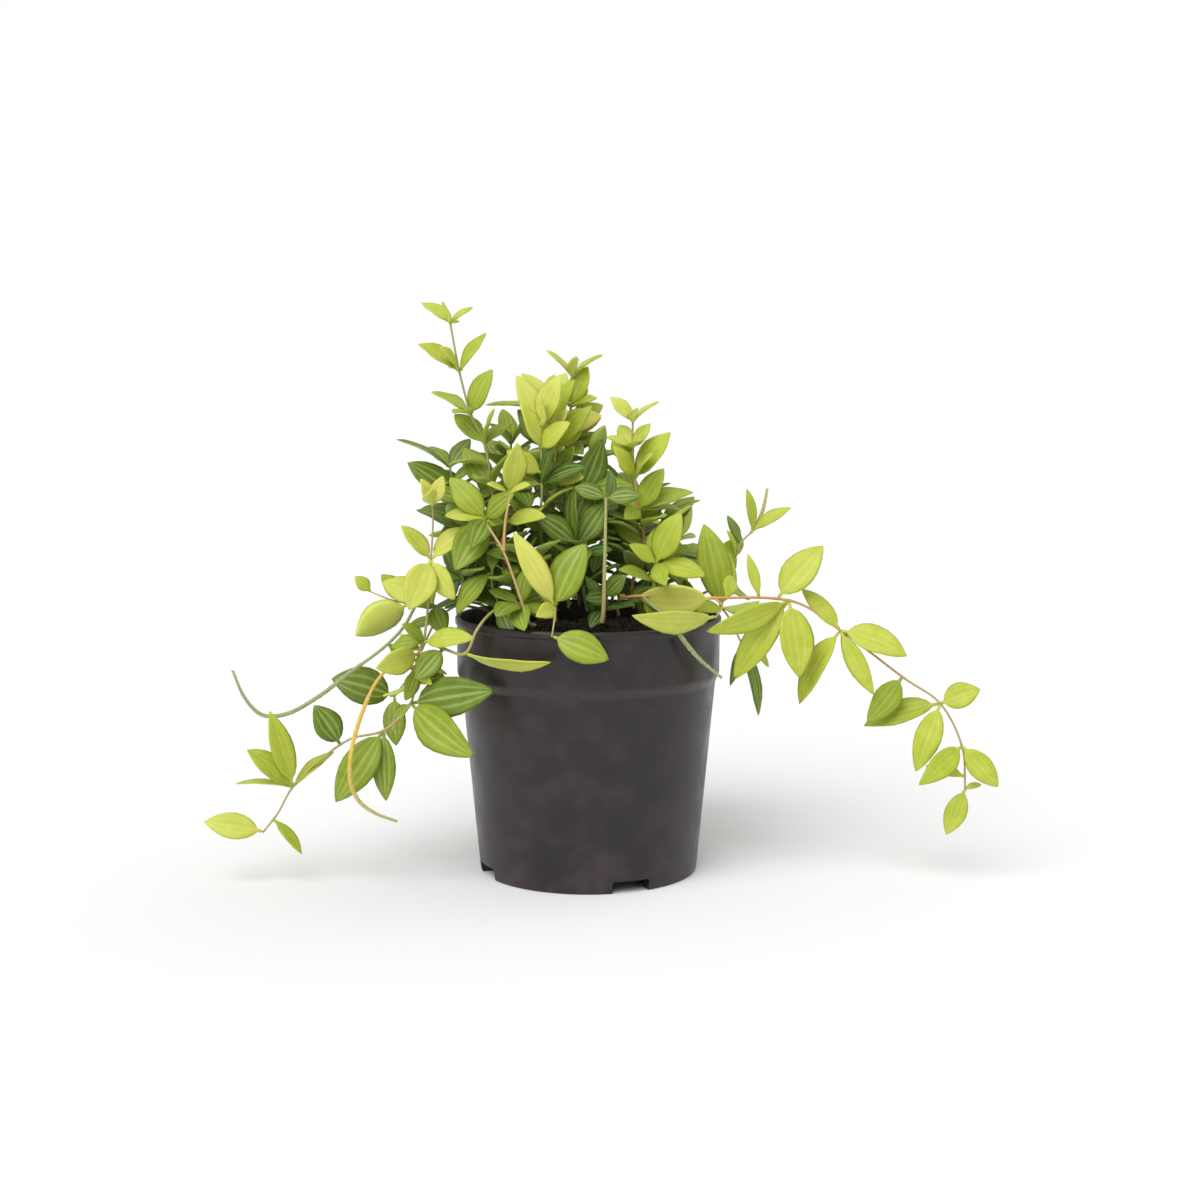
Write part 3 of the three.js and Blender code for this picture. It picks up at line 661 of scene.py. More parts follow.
def makeSoilBody():
    v = soilValues
    line = [
        (0, v["bottom"]), (v["bottomRadius"], v["bottom"]),
        (v["radius"], v["wallFoot"]), (v["radius"], v["wallTop"]),
    ]
    for ring in range(v["rings"]):
        line.append((v["radius"] * (1 - ring / v["rings"]) * v["topShare"], v["level"]))
    line.append((0, v["level"]))
    body = turnedShape("soilBody", line, v["sides"])
    top = body.data.attributes.new("soilTop", "FLOAT", "POINT")
    for point, mark in zip(body.data.vertices, top.data):
        if point.co.z > (v["level"] - 1) * mm:
            mark.value = 1.0
            point.co.z = soilHeight(point.co.x / mm, point.co.y / mm) * mm
    faceOutwards(body)
    return body


def makeSoilTree():
    v = soilValues
    tree, given, end = newGeometryTree("strewnCrumbs", {
        "Density": ("NodeSocketFloat", 1.0),
        "Crumb Radius": ("NodeSocketFloat", mm),
        "Seed": ("NodeSocketInt", 1),
        "Soil Material": ("NodeSocketMaterial", None),
    })
    ground = given["Geometry"]
    strewn = made(tree, "GeometryNodeDistributePointsOnFaces", {
        "Mesh": ground,
        "Selection": named(tree, "soilTop") > 0.99,
        "Density": given["Density"],
        "Seed": given["Seed"],
    })
    inputs = {"Radius": given["Crumb Radius"], "Subdivisions": 1}
    crumb = made(tree, "GeometryNodeMeshIcoSphere", inputs)
    stretch = drawn(tree, v["seed"] + 1, *v["crumbStretch"], "FLOAT_VECTOR")
    turn = drawn(tree, v["seed"] + 2, (0, 0, 0), v["crumbTurns"], "FLOAT_VECTOR")
    size = drawn(tree, v["seed"] + 5, *v["crumbSizes"])
    tint = drawn(tree, v["seed"] + 6, 0.0, 1.0)
    marked = made(
        tree, "GeometryNodeStoreNamedAttribute",
        {"Geometry": strewn, "Name": "crumbTint", "Value": tint}, {"data_type": "FLOAT", "domain": "POINT"},
    )
    crumbs = made(tree, "GeometryNodeInstanceOnPoints", {
        "Points": marked,
        "Instance": crumb,
        "Rotation": turn,
        "Scale": scaled(stretch, size),
    })
    whole = coated(realized(joined(ground, crumbs)), given["Soil Material"])
    feed(whole, end.inputs["Geometry"])
    return tree


def makeSoilMaterial():
    v = soilValues
    material, shader = newMaterial("peatMix")
    patches, grain = uneven(shader, v)
    tint = attribute(shader, "crumbTint")
    peat = mixed((patches + tint ** v["tintPower"]) * v["lightShare"], v["dark"], v["light"])
    feedAll(shader, {
        "Base Color": mixed(remap(tint, v["barkTints"]), peat, v["bark"]),
        "Roughness": grain * v["roughSpread"] + v["roughness"],
    })
    relief(shader, grain, v)
    return material


def makeSoil():
    v = soilValues
    inputs = {
        "Density": float(v["crumbs"]),
        "Crumb Radius": v["crumbRadius"] * mm,
        "Seed": v["seed"],
        "Soil Material": makeSoilMaterial(),
    }
    soil = baked(makeSoilBody(), makeSoilTree(), inputs, "pottingSoil", ["crumbTint"])
    place(soil, "soil")


makeSoil()


# The plant: its stems and leaves, in millimetres. A stem grows from its root through its route.
# A leaf is (place along the route, x, y, z from joint to tip, roll, width where it is given).
# A whorl is (place along the route, leaves, turn, opening from the stem, length), with how far its
# front leaves hang down besides, in degrees, where it is given.
# tones go from dark mature (0) to lime young (1) at the start, middle and end of a stem, and blush
# from green (0) to orange (1). own gives single leaves, by their row, a tone of their own.

leafyStems = [
    dict(
        node="shoot_trailing_right", slot="foliage_young", root=(14, -20), thick=1.4,
        tones=(0.85, 0.78, 0.72), blush=(0.9, 0.75, 0.25),
        own={0: 0.95, 2: 0.75, 3: 0.8, 10: 0.45, 12: 0.6},
        route=[
            (13, -25, 126), (22, -28, 129), (49, -31, 128.5), (88, -32, 127.5), (111, -30, 114),
            (139, -28, 93), (156, -28, 81), (166, -28, 62), (168, -28, 42),
        ],
        leaves=[
            (2.17, -33, 5, 0, 112, 16), (2.85, 20, 2, 23, 65, 15), (3, -37, -13, -12, 105, 12),
            (3, -35, -4, -24, 60, 14), (3, 4, -8, -33, 10, 17), (4, -17, 6, -34, 60, 13),
            (4, 29, -3, -11, 50, 15), (4, 19, -12, -23, 75, 9), (4, 7, 6, -22, 5, 9),
            (4, -17, 4, 18, 60, 9), (5, -16, -5, -19, 80, 13), (6, 17, -3, 7, 75, 12),
            (6, -33, 5, -11, 55, 13), (6, -17, -3, -27, 75, 12), (7, 16, -3, -18, 75, 11),
            (7, -25, -15, -9, 60, 11), (7.7, -17, 4, 4, 40, 7), (8, -8, 0, -21, 85, 10),
            (8, 8, 4, 1, 30, 4),
        ],
    ),
    dict(
        node="shoot_trailing_left", slot="foliage_middling", root=(-35, -27), thick=1.4,
        tones=(0.75, 0.35, 0.75), blush=(0.15, 0.6, 0.3),
        own={0: 0.9, 1: 0.2, 2: 0.75, 8: 0.25, 9: 0.5, 11: 0.4, 12: 0.25, 13: 0.25, 14: 0.75, 18: 0.85},
        route=[
            (-38, -32, 124), (-43, -39, 122), (-48, -45, 116), (-53, -45, 106), (-63, -38, 107),
            (-72, -32, 109), (-76, -32, 97), (-78, -33, 82), (-90, -33, 70), (-105, -33, 66),
            (-119, -32, 56), (-131, -31, 44), (-138, -30, 32), (-145, -29, 23),
        ],
        leaves=[
            (3, 38, -24, 0, 140, 11), (4, -12, -5, -13, 60, 11), (5, 24, -8, 7, 40, 11), (5, -9, -6, 9, 60),
            (5, -15, 5, -3, 60), (6, -4, -6, -13, 60), (6, 10, 7, -4, 60), (6, -12, 8, 2, 50),
            (7, 36, -15, 17, 75, 18), (7, 33, -16, -21, 80, 18), (7, -9, 8, -14, 60),
            (8, -21, -6, -31, 75, 16), (8, 1, -4, -31, 25, 11), (9.3, -11, -2, 18, 75, 13),
            (11, -9, -4, 35, 75, 11), (11, -21, -8, 14, 60, 12), (11, 18, 5, 15, 30, 8),
            (11, -26, 2, 1, 5, 7), (13, -26, -2, 5, 75, 12), (12.3, 13, -4, -15, 30, 6),
        ],
    ),
    dict(
        on="shoot_trailing_left", thick=1.2, tones=(0.85, 0.9, 1), blush=(0.3, 0.3, 0.3),
        route=[(-72, -32, 109), (-70, -29, 127), (-69, -27, 145), (-68, -27, 159), (-68, -27, 169)],
        leaves=[
            (4, -5, -2, 12, 70), (4, 5, 2, 13, 60), (4, 0, -13, 7, 30), (2, -13, 0, 15, 50),
            (2, 17, 6, 14, 40), (2, -9, -10, -21, 60, 15), (2, 9, -8, -17, 70), (1, -21, 4, 8, 60),
        ],
    ),
    dict(
        node="shoot_tall_left", slot="foliage_fresh", root=(-26, -7), thick=1.5, tones=(0.2, 0.5, 0.85),
        blush=(0.5, 0.2, 0.1),
        route=[
            (-33, -8, 134), (-40, -9, 152), (-43, -10, 175), (-46, -10, 195), (-52, -10, 208),
            (-57, -10, 227), (-61, -10, 249),
        ],
        leaves=[
            (6, -13, 4, 9, 20), (6, -3, -9, 9, 60), (6, 10, 3, 7, 10), (5, -18, -3, 12, 45),
            (5, -8, -9, 11, 50), (5, 12, 2, 17, 30, 8), (4, 10, -4, 20, 70), (4, -18, 3, 10, 15),
            (4, -7, -14, 1, 10), (3, -14, 8, 13, 30), (3, 5, -9, 16, 50), (3, 12, 9, 9, 10),
            (2, -13, 6, 18, 50), (2, 8, -12, 16, 40), (2, -5, -18, 10, 20),
        ],
        whorls=[(1, 3, 150, 62, 24)],
    ),
    dict(
        node="shoot_left_middle", slot="foliage_fresh", root=(-31, -19), thick=1.4, tones=(0.2, 0.5, 0.7),
        blush=(0.75, 0.75, 0.6), own={0: 0.62, 1: 0.45, 2: 0.85, 3: 0.4, 4: 0.3},
        route=[(-32, -20, 130), (-39, -22, 149), (-45, -24, 163)],
        leaves=[
            (2, -12, 3, 21, 75), (2, 6, -3, 20, 65), (2, -17, -7, 2, 35), (2, -22, -12, -14, 60),
            (2, -7, -13, -18, 30),
        ],
        whorls=[(0.1, 3, 250, 60, 25)],
    ),
    dict(
        on="shoot_left_middle", thick=1.2, tones=(0.6, 0.75, 0.85), blush=(0.7, 0.5, 0.4),
        route=[(-39, -22, 149), (-36, -23, 161), (-35, -24, 174)],
        leaves=[
            (2, 2, 2, 23, 80), (2, -9, -8, 5, 30), (2, 11, -6, 6, 25), (1, 18, -8, 3, 50),
            (1, -13, 9, 9, 30),
        ],
    ),
    dict(
        node="shoot_centre_low", slot="foliage_mature", root=(0, -12), thick=1.5, tones=(0.02, 0.08, 0.15),
        blush=(0.3, 0.3, 0.3),
        route=[(-2, -14, 130), (-4, -15, 144), (-5, -16, 151)],
        leaves=[
            (1.85, -1, 2, 27, 85, 17), (1.85, 13, 6, 19, 60), (1.85, -12, 2, 20, 60),
            (1.85, -3, -20, 4, 20), (1, 15, -8, 5, 40), (1, -14, -6, 9, 50),
        ],
        whorls=[(0.1, 3, 230, 66, 23)],
    ),
    dict(
        node="shoot_centre_bright", slot="foliage_young", root=(-13, -8), thick=1.5, tones=(0.1, 0.45, 1),
        blush=(0.2, 0.2, 0.3), own={0: 0.97, 1: 0.88, 6: 0.12, 7: 0.3, 8: 0.15},
        route=[(-18, -9, 130), (-21, -11, 155), (-20.5, -12, 182), (-21.5, -12, 203)],
        leaves=[
            (2.5, -9, -6, 20, 75, 10), (2.5, 9, -6, 18, 75, 10), (3, -8, -2, 24, 75, 11),
            (3, 5, -1, 25, 75, 12), (3, -1, -7, 18, 80, 9), (2.5, 4, 12, 12, 30), (1.8, 6, -6, 19, 75, 9),
            (1.8, -15, -9, 11, 60), (1.8, 20, -6, 8, 45), (1, -16, -12, 9, 60), (1, 17, -14, 7, 60),
            (1, 2, -22, 3, 30), (1, 3, 16, 12, 30),
        ],
        whorls=[(0.2, 2, 290, 66, 24)],
    ),
    dict(
        node="shoot_left_back", slot="foliage_mature", root=(-38, 14), thick=1.5, tones=(0.1, 0.12, 0.22),
        blush=(0.4, 0.2, 0.2),
        route=[(-44, 12, 129), (-54, 10, 150), (-60, 8, 169), (-63, 6, 184)],
        leaves=[
            (3, -24, -3, 13, 0, 9), (3, -9, 8, 12, 10), (3, 9, 6, 13, 40), (2, -22, -4, 17, 60),
            (2, -6, 13, 13, 20), (2, 9, -12, 11, 30), (1, -14, 4, 9, 40), (1, 9, 12, 11, 20),
            (1, -8, -14, -8, 30),
        ],
    ),
    dict(
        node="shoot_centre_top", slot="foliage_young", root=(-19, 5), thick=1.5, tones=(0.1, 0.4, 1),
        blush=(0.3, 0.25, 0.3), own={0: 0.72, 3: 0.6, 5: 0.62, 6: 0.2, 7: 0.25},
        route=[(-19, 5, 130), (-17, 4, 151), (-15, 3, 174), (-15, 1, 192), (-17, 1, 209)],
        leaves=[
            (3.5, 10, -6, 23, 75, 12), (4, -9, 3, 20, 75), (4, 3, 9, 19, 40), (4, -26, 0, 15, 8, 9),
            (4, 7, 2, 18, 60), (3, 17, -4, 20, 70, 9), (3, -17, 3, 18, 60), (3, -17, 12, 11, 40),
            (3, 6, 14, 13, 30), (2, 9, -7, 20, 75), (2, -9, 8, 18, 60), (2, -20, 8, 9, 30),
            (2, 18, 8, 9, 30),
        ],
        whorls=[(1, 3, 200, 65, 26)],
    ),
    dict(
        node="shoot_centre_back", slot="foliage_fresh", root=(-7, 16), thick=1.5, tones=(0.2, 0.4, 0.8),
        blush=(0.3, 0.2, 0.2),
        route=[
            (-13, 14, 129), (-12, 13, 150), (-11, 12, 173), (-10, 12, 194), (-8, 12, 211), (-7, 12, 225),
        ],
        leaves=[
            (5, -12, 0, 12, 5), (5, 14, 2, 10, 5), (5, 3, -12, 7, 30), (4, -8, -3, 13, 60),
            (4, 6, -2, 19, 80), (4, 12, -8, 4, 35), (4, 1, 14, 13, 10), (3, 18, -4, 2, 35),
            (3, 16, 6, 12, 30), (3, -8, 8, 10, 30), (3, 2, -16, -2, 30), (2, 18, -8, 6, 45),
            (2, -14, 6, 9, 30),
        ],
        whorls=[(1, 3, 40, 65, 26), (0.2, 3, 100, 66, 23)],
    ),
    dict(
        node="shoot_right_middle", slot="foliage_fresh", root=(21, -3), thick=1.5, tones=(0.25, 0.7, 0.95),
        blush=(0.6, 0.8, 0.3),
        route=[(20, -2, 131), (25, -3, 149), (23, -3, 165), (21, -3, 179), (20, -3, 193), (20, -3, 205)],
        leaves=[
            (5, -10, 3, 11, 40), (5, 12, 2, 9, 5), (5, 1, -10, 6, 30), (4, -12, -2, 5, 25),
            (4, 8, -2, 11, 70), (4, -6, 9, 10, 40), (4, 3, -14, 4, 30), (3, 16, 0, 21, 50),
            (3, -10, -6, 15, 70), (3, 8, -12, 12, 40), (3, -6, 12, 8, 20), (2, 11, -4, 19, 75),
            (2, 23, 0, 12, 30), (2, 21, 5, 3, 20), (2, -15, 6, 13, 50), (2, -7, -14, -3, 40),
            (1, -15, 6, 9, 40), (1, 17, 8, 2, 30),
        ],
        whorls=[(1.5, 3, 300, 62, 24), (0.2, 2, 250, 66, 23)],
    ),
    dict(
        node="shoot_right_near", slot="foliage_fresh", root=(32, -18), thick=1.4, tones=(0.4, 0.6, 0.7),
        blush=(0.6, 0.6, 0.5),
        route=[(29, -20, 129), (30, -23, 143)],
        leaves=[
            (1, 11, -2, 23, 75), (1, 20, -8, -8, 45), (1, -12, -2, 9, 60), (1, -3, 11, 14, 40),
            (1, 4, -16, -8, 30),
        ],
    ),
    dict(
        node="shoot_right_back", slot="foliage_fresh", root=(36, 10), thick=1.4, tones=(0.4, 0.65, 0.75),
        blush=(0.4, 0.4, 0.2), own={2: 0.15},
        route=[(46, 14, 122), (59, 20, 128), (68, 26, 140), (71, 28, 147), (77, 30, 153)],
        leaves=[
            (4, -3, 0, 20, 60, 6), (4, 18, 0, 11, 45, 7), (3, -6, 4, 13, 40, 5), (2, -4, -6, 14, 60, 8),
            (2, 3, 9, 12, 30, 6), (1, 7, 6, 21, 60), (1, -13, -8, 13, 40), (1, 17, 10, -8, 30),
        ],
    ),
    dict(
        node="shoot_right_low", slot="foliage_fresh", root=(41, -6), thick=1.3, tones=(0.4, 0.7, 0.6),
        blush=(0.5, 0.4, 0.3), own={0: 0.62, 1: 0.75, 2: 0.15, 4: 0.1},
        route=[(47, -8, 121), (60, -7, 121), (70, -4, 104)],
        leaves=[
            (1, -8, 2, 38, 70, 16), (1, 5, 8, 28, 50, 12), (2, 8, 2, -34, 60, 8), (2, 13, 6, -12, 50),
            (2, -6, -10, -18, 40, 5), (1, -9, -16, -2, 30),
        ],
    ),
    dict(
        node="shoot_front", slot="foliage_fresh", root=(-14, -40), thick=1.4, tones=(0.85, 0.85, 0.85),
        blush=(0.35, 0.35, 0.3), own={0: 0.9, 1: 0.45},
        route=[(-14, -44, 126)],
        leaves=[
            (0, -18, 0, 33, 70, 11), (0, 10, -4, 29, 80, 19), (0, -8, -14, -2, 50), (0, -5, 12, 14, 40),
        ],
    ),
    dict(
        on="shoot_front", thick=1.1, tones=(0.5, 0.5, 0.5), blush=(0.3, 0.3, 0.3),
        route=[(-14, -44, 126), (-14, -56, 123), (-15, -64, 116)],
        leaves=[(2, 24, -1, -10, 75, 14)],
    ),
    dict(
        node="shoot_front_left", slot="foliage_middling", root=(-29, -36), thick=1.4,
        tones=(0.3, 0.35, 0.4), blush=(0.5, 0.5, 0.4),
        route=[(-30, -38, 127)],
        leaves=[(0, -9, -20, -3, 20), (0, 13, -22, -5, 30), (0, 4, 7, 17, 60), (0, -12, 5, 11, 30)],
    ),
    dict(
        node="shoot_left_outer", slot="foliage_young", root=(-46, 2), thick=1.3, tones=(0.4, 0.75, 0.95),
        blush=(0.6, 0.6, 0.5), own={0: 0.95, 1: 0.5, 3: 0.4, 4: 0.6},
        route=[(-55, 0, 121), (-70, -6, 122), (-81, -8, 123)],
        leaves=[
            (2, -24, -4, -14, -75, 17), (2, -13, 4, 13, 50), (1, -3, 11, 10, 40), (1, 10, -14, -10, 30),
            (1, -10, -14, 2, 40),
        ],
    ),
    dict(
        on="shoot_left_outer", thick=0.9, tones=(0.7, 0.7, 0.7), blush=(0.5, 0.5, 0.4),
        route=[(-81, -8, 123), (-91, -4, 125), (-99, -2, 128)],
        leaves=[(2, -7, 0, 7, 60, 6.5)],
    ),
    dict(
        node="shoot_left_hanging", slot="foliage_mature", root=(-46, 16), thick=1.3, tones=(0.2, 0.35, 0.3),
        blush=(0.5, 0.4, 0.3), own={0: 0.12},
        route=[(-57, 13, 121), (-70, 7, 113), (-80, 2, 92), (-89, 0, 79)],
        leaves=[
            (3, -28, -5, 9, 75, 18), (2, -11, -6, 12, 60), (2, 15, 6, -8, 60), (3, 1, -5, -22, 25),
            (1, -14, 6, -4, 40),
        ],
    ),
    dict(
        node="shoot_inner_left", slot="foliage_mature", root=(-36, 3), thick=1.4, tones=(0.05, 0.12, 0.3),
        blush=(0.2, 0.2, 0.2),
        route=[(-42, 2, 130), (-50, -2, 150), (-54, -6, 168)],
        whorls=[(0.4, 3, 200, 65, 27), (1.2, 3, 140, 62, 27), (2, 3, 20, 48, 24)],
    ),
    dict(
        node="shoot_inner_centre", slot="foliage_mature", root=(-9, 0), thick=1.5, tones=(0.05, 0.1, 0.2),
        blush=(0.2, 0.2, 0.2),
        route=[(-9, -1, 130), (-8, -3, 152), (-4, -5, 172)],
        whorls=[(0.2, 3, 260, 65, 28), (1, 3, 330, 62, 28), (2, 3, 30, 50, 26)],
    ),
    dict(
        node="shoot_inner_back", slot="foliage_mature", root=(-22, 27), thick=1.5, tones=(0.05, 0.2, 0.4),
        blush=(0.2, 0.2, 0.2),
        route=[(-27, 29, 130), (-32, 29, 152), (-35, 27, 175), (-36, 25, 194)],
        whorls=[(0.5, 3, 20, 65, 28), (1.4, 3, 80, 60, 27), (2.2, 4, 30, 58, 25), (3, 3, 100, 45, 20)],
    ),
    dict(
        node="shoot_inner_right", slot="foliage_mature", root=(10, 16), thick=1.4, tones=(0.05, 0.15, 0.3),
        blush=(0.2, 0.2, 0.2),
        route=[(13, 17, 130), (18, 17, 150), (20, 15, 166)],
        whorls=[(0.6, 3, 350, 62, 26), (1.3, 3, 50, 60, 26), (2, 4, 0, 50, 23)],
    ),
    dict(
        node="shoot_back_middle", slot="foliage_middling", root=(-1, 34), thick=1.4, tones=(0.15, 0.4, 0.7),
        blush=(0.3, 0.3, 0.3),
        route=[(-3, 40, 129), (-8, 50, 146), (-12, 56, 164), (-13, 60, 180)],
        whorls=[(0.4, 3, 40, 65, 28), (1.2, 3, 100, 62, 27), (2.1, 3, 40, 56, 25), (3, 3, 10, 45, 20)],
    ),
    dict(
        node="shoot_back_left", slot="foliage_middling", root=(-36, 30), thick=1.4, tones=(0.15, 0.35, 0.6),
        blush=(0.3, 0.3, 0.3),
        route=[(-44, 38, 127), (-52, 48, 138), (-57, 54, 152)],
        whorls=[(0.4, 3, 70, 65, 27), (1.2, 3, 120, 60, 26), (2, 3, 80, 48, 22)],
    ),
    dict(
        node="shoot_back_right", slot="foliage_middling", root=(24, 31), thick=1.4, tones=(0.15, 0.4, 0.65),
        blush=(0.3, 0.3, 0.3),
        route=[(29, 42, 126), (36, 55, 134), (40, 64, 144)],
        whorls=[(0.4, 3, 60, 65, 27), (1.2, 3, 0, 60, 26), (2, 3, 30, 48, 22)],
    ),
    dict(
        node="shoot_trailing_back", slot="foliage_fresh", root=(-6, 46), thick=1.3, tones=(0.3, 0.6, 0.8),
        blush=(0.6, 0.6, 0.6),
        route=[(-8, 57, 123), (-11, 70, 119), (-12, 80, 100), (-10, 85, 76), (-8, 84, 54)],
        whorls=[
            (1, 2, 0, 65, 28), (1.7, 3, 50, 62, 30), (2.5, 2, 20, 60, 28), (3.2, 3, 80, 58, 25),
            (4, 3, 30, 45, 20),
        ],
    ),
    dict(
        node="shoot_trailing_back_right", slot="foliage_fresh", root=(17, 45), thick=1.3,
        tones=(0.3, 0.6, 0.8), blush=(0.6, 0.6, 0.6),
        route=[(21, 56, 123), (26, 68, 117), (30, 76, 98), (31, 79, 78)],
        whorls=[(1, 2, 60, 65, 27), (1.8, 3, 10, 62, 28), (2.5, 2, 80, 60, 26), (3, 3, 0, 48, 21)],
    ),
    dict(
        node="shoot_left_near", slot="foliage_middling", root=(-43, -12), thick=1.3, tones=(0.05, 0.1, 0.2),
        blush=(0.4, 0.4, 0.4),
        route=[(-48, -15, 124), (-55, -20, 136)],
        whorls=[(0.2, 2, 200, 60, 24), (1, 4, 240, 55, 25)],
    ),
    dict(
        node="shoot_inner_front", slot="foliage_mature", root=(-20, -24), thick=1.3, tones=(0.1, 0.15, 0.3),
        blush=(0.4, 0.4, 0.4),
        route=[(-21, -25, 129), (-24, -27, 144)],
        whorls=[(0.2, 2, 190, 62, 24), (1, 4, 215, 50, 25)],
    ),
    dict(
        on="shoot_trailing_right", thick=1.1, tones=(0.85, 0.9, 0.95), blush=(0.6, 0.6, 0.6),
        route=[(55.6, -31.2, 128.5), (58.5, -38, 125.5), (55, -45, 121.5)],
        leaves=[(1.85, -37, -20, 3, 122, 13)],
    ),
]

# Flower spikes, whose ripeness goes from green (0) to yellow and orange (1) along them

flowerSpikes = [
    dict(
        name="longGreenSpike", ripe=(0.1, 0.1, 0.1),
        route=[
            (-78, -8, 122), (-83, -13, 113), (-92, -17, 104), (-107, -18, 93), (-120, -18, 83),
            (-134, -18, 75), (-146, -18, 74), (-154, -18, 82), (-159, -18, 94),
        ],
    ),
    dict(
        name="yellowSpike", ripe=(1, 0.62, 0.15),
        route=[
            (-76, -32, 98), (-84, -36, 100), (-92, -40, 93), (-98, -44, 80), (-102, -48, 66),
            (-103, -50, 53), (-100, -50, 43), (-93, -50, 37), (-83, -50, 33),
        ],
    ),
    dict(
        name="rimSpike", ripe=(0.1, 0.1, 0.1),
        route=[
            (24, -28.2, 129), (29, -36, 125), (34, -45, 122), (38, -49.5, 117), (43, -48.5, 110),
            (49, -46, 103), (58, -42, 95),
        ],
    ),
    dict(
        name="shortSpike", ripe=(0.3, 0.3, 0.3),
        route=[(76, 29.6, 152), (79, 31, 156), (82, 33, 163), (84, 36, 172)],
    ),
]

# Growth that the solids leave out, for the dense middle of the plant. Shoots stand among the others,
# and single leaves grow from a shoot that is already there. Each leaf takes the first lean that keeps
# it clear of what has grown before it.

innerShoots = [
    dict(
        root=(-40, -4), thick=1.2, tones=(0.05, 0.1, 0.2), blush=(0.5, 0.4, 0.3),
        route=[(-44, -6, 124), (-50, -9, 137), (-54, -12, 150)],
        leaves=[
            (2, -9, -8, -27, 8, 12), (2, 15, -7, -23, 8, 13), (1.4, -4, -12, -18, 8, 12),
            (1.9, 4, -8, -27, 8, 11),
        ],
        whorls=[(0.2, 3, 200, 60, 22, 75), (0.9, 3, 150, 62, 22, 70), (2, 3, 30, 45, 16)],
    ),
    dict(
        root=(-36, -24), thick=1.2, tones=(0.15, 0.2, 0.3), blush=(0.6, 0.5, 0.4),
        route=[(-38, -26, 122), (-42, -28, 133), (-42, -29, 140)],
        leaves=[
            (2, -9, -7, -22, 8, 12), (2, 10, -9, -20, 8, 12), (1.9, -1, -10, -22, 8, 13),
            (2, -8, 4, 16, 70, 9),
        ],
        whorls=[(0.2, 3, 160, 62, 20, 60), (0.8, 3, 230, 60, 20, 60)],
    ),
    dict(
        root=(-4, 8), thick=1.4, tones=(0.02, 0.12, 0.35), blush=(0.3, 0.2, 0.2),
        route=[(-5, 8, 130), (-5, 7, 150), (-1, 6, 170), (2, 5, 188)],
        whorls=[
            (0.2, 3, 290, 65, 24, 60), (0.8, 3, 240, 62, 24, 70), (1.5, 3, 300, 60, 24, 70),
            (2.2, 3, 260, 58, 22, 40), (3, 4, 300, 45, 18),
        ],
    ),
    dict(
        root=(9, -8), thick=1.3, tones=(0.02, 0.1, 0.3), blush=(0.4, 0.3, 0.2),
        route=[(8, -9, 129), (6, -10, 148), (6, -11, 166)],
        whorls=[
            (0.2, 3, 250, 62, 20, 60), (1.2, 3, 270, 62, 22, 75), (1.7, 3, 210, 58, 20, 60),
            (2, 3, 330, 42, 16),
        ],
    ),
    dict(
        root=(-24, -2), thick=1.3, tones=(0.05, 0.12, 0.4), blush=(0.4, 0.3, 0.2),
        route=[(-27, -2, 130), (-31, -4, 150), (-32, -6, 170), (-31, -6, 186)],
        whorls=[
            (0.3, 3, 230, 62, 22, 60), (0.9, 3, 290, 62, 23, 75), (1.6, 3, 230, 60, 22, 75),
            (2.3, 3, 290, 58, 20, 40), (3, 4, 200, 45, 16),
        ],
    ),
    dict(
        root=(-32, 12), thick=1.3, tones=(0.02, 0.1, 0.3), blush=(0.4, 0.3, 0.2),
        route=[(-36, 12, 130), (-42, 10, 150), (-46, 8, 170)],
        whorls=[
            (0.3, 3, 200, 62, 24, 70), (1, 3, 260, 62, 24, 75), (1.6, 3, 200, 58, 22, 60),
            (2, 3, 300, 45, 18),
        ],
    ),
    dict(
        root=(22, 12), thick=1.3, tones=(0.05, 0.15, 0.4), blush=(0.4, 0.3, 0.2),
        route=[(26, 13, 129), (32, 12, 145), (35, 10, 160)],
        whorls=[
            (0.3, 3, 290, 62, 24, 70), (1, 3, 230, 62, 23, 75), (1.6, 3, 290, 58, 22, 60),
            (2, 3, 340, 45, 17),
        ],
    ),
    dict(
        root=(14, 26), thick=1.3, tones=(0.02, 0.15, 0.4), blush=(0.3, 0.2, 0.2),
        route=[(14, 30, 130), (12, 34, 150), (10, 36, 170)],
        whorls=[(0.3, 3, 40, 62, 26), (1, 3, 100, 62, 25), (1.6, 3, 60, 58, 23), (2, 3, 340, 45, 18)],
    ),
    dict(
        root=(-20, -28), thick=1.1, tones=(0.3, 0.35, 0.45), blush=(0.4, 0.4, 0.4),
        route=[(-24, -32, 121), (-29, -37, 126)],
        leaves=[
            (1, 4, 0, 20, 70, 9), (1, 17, -6, -3, 30, 9), (0.9, -9, -8, -6, 20, 9),
            (0.9, 3, -11, -8, 20, 10),
        ],
        whorls=[(0.3, 2, 200, 60, 17)],
    ),
    dict(
        root=(4, -26), thick=1.1, tones=(0.05, 0.1, 0.15), blush=(0.6, 0.5, 0.4),
        route=[(6, -28, 121), (8, -30, 129)],
        leaves=[(1, 9, -4, 10, 60, 10), (1, -9, -4, 7, 60, 9)],
        whorls=[(0.2, 3, 250, 62, 17, 40), (1, 3, 300, 70, 16, 60)],
    ),
    dict(
        root=(30, -8), thick=1.2, tones=(0.1, 0.3, 0.6), blush=(0.7, 0.6, 0.4),
        route=[(31, -8, 128), (34, -9, 142), (33, -10, 154)],
        whorls=[(0.2, 3, 250, 62, 20, 60), (1, 3, 290, 60, 20, 60), (2, 4, 250, 50, 18)],
    ),
]

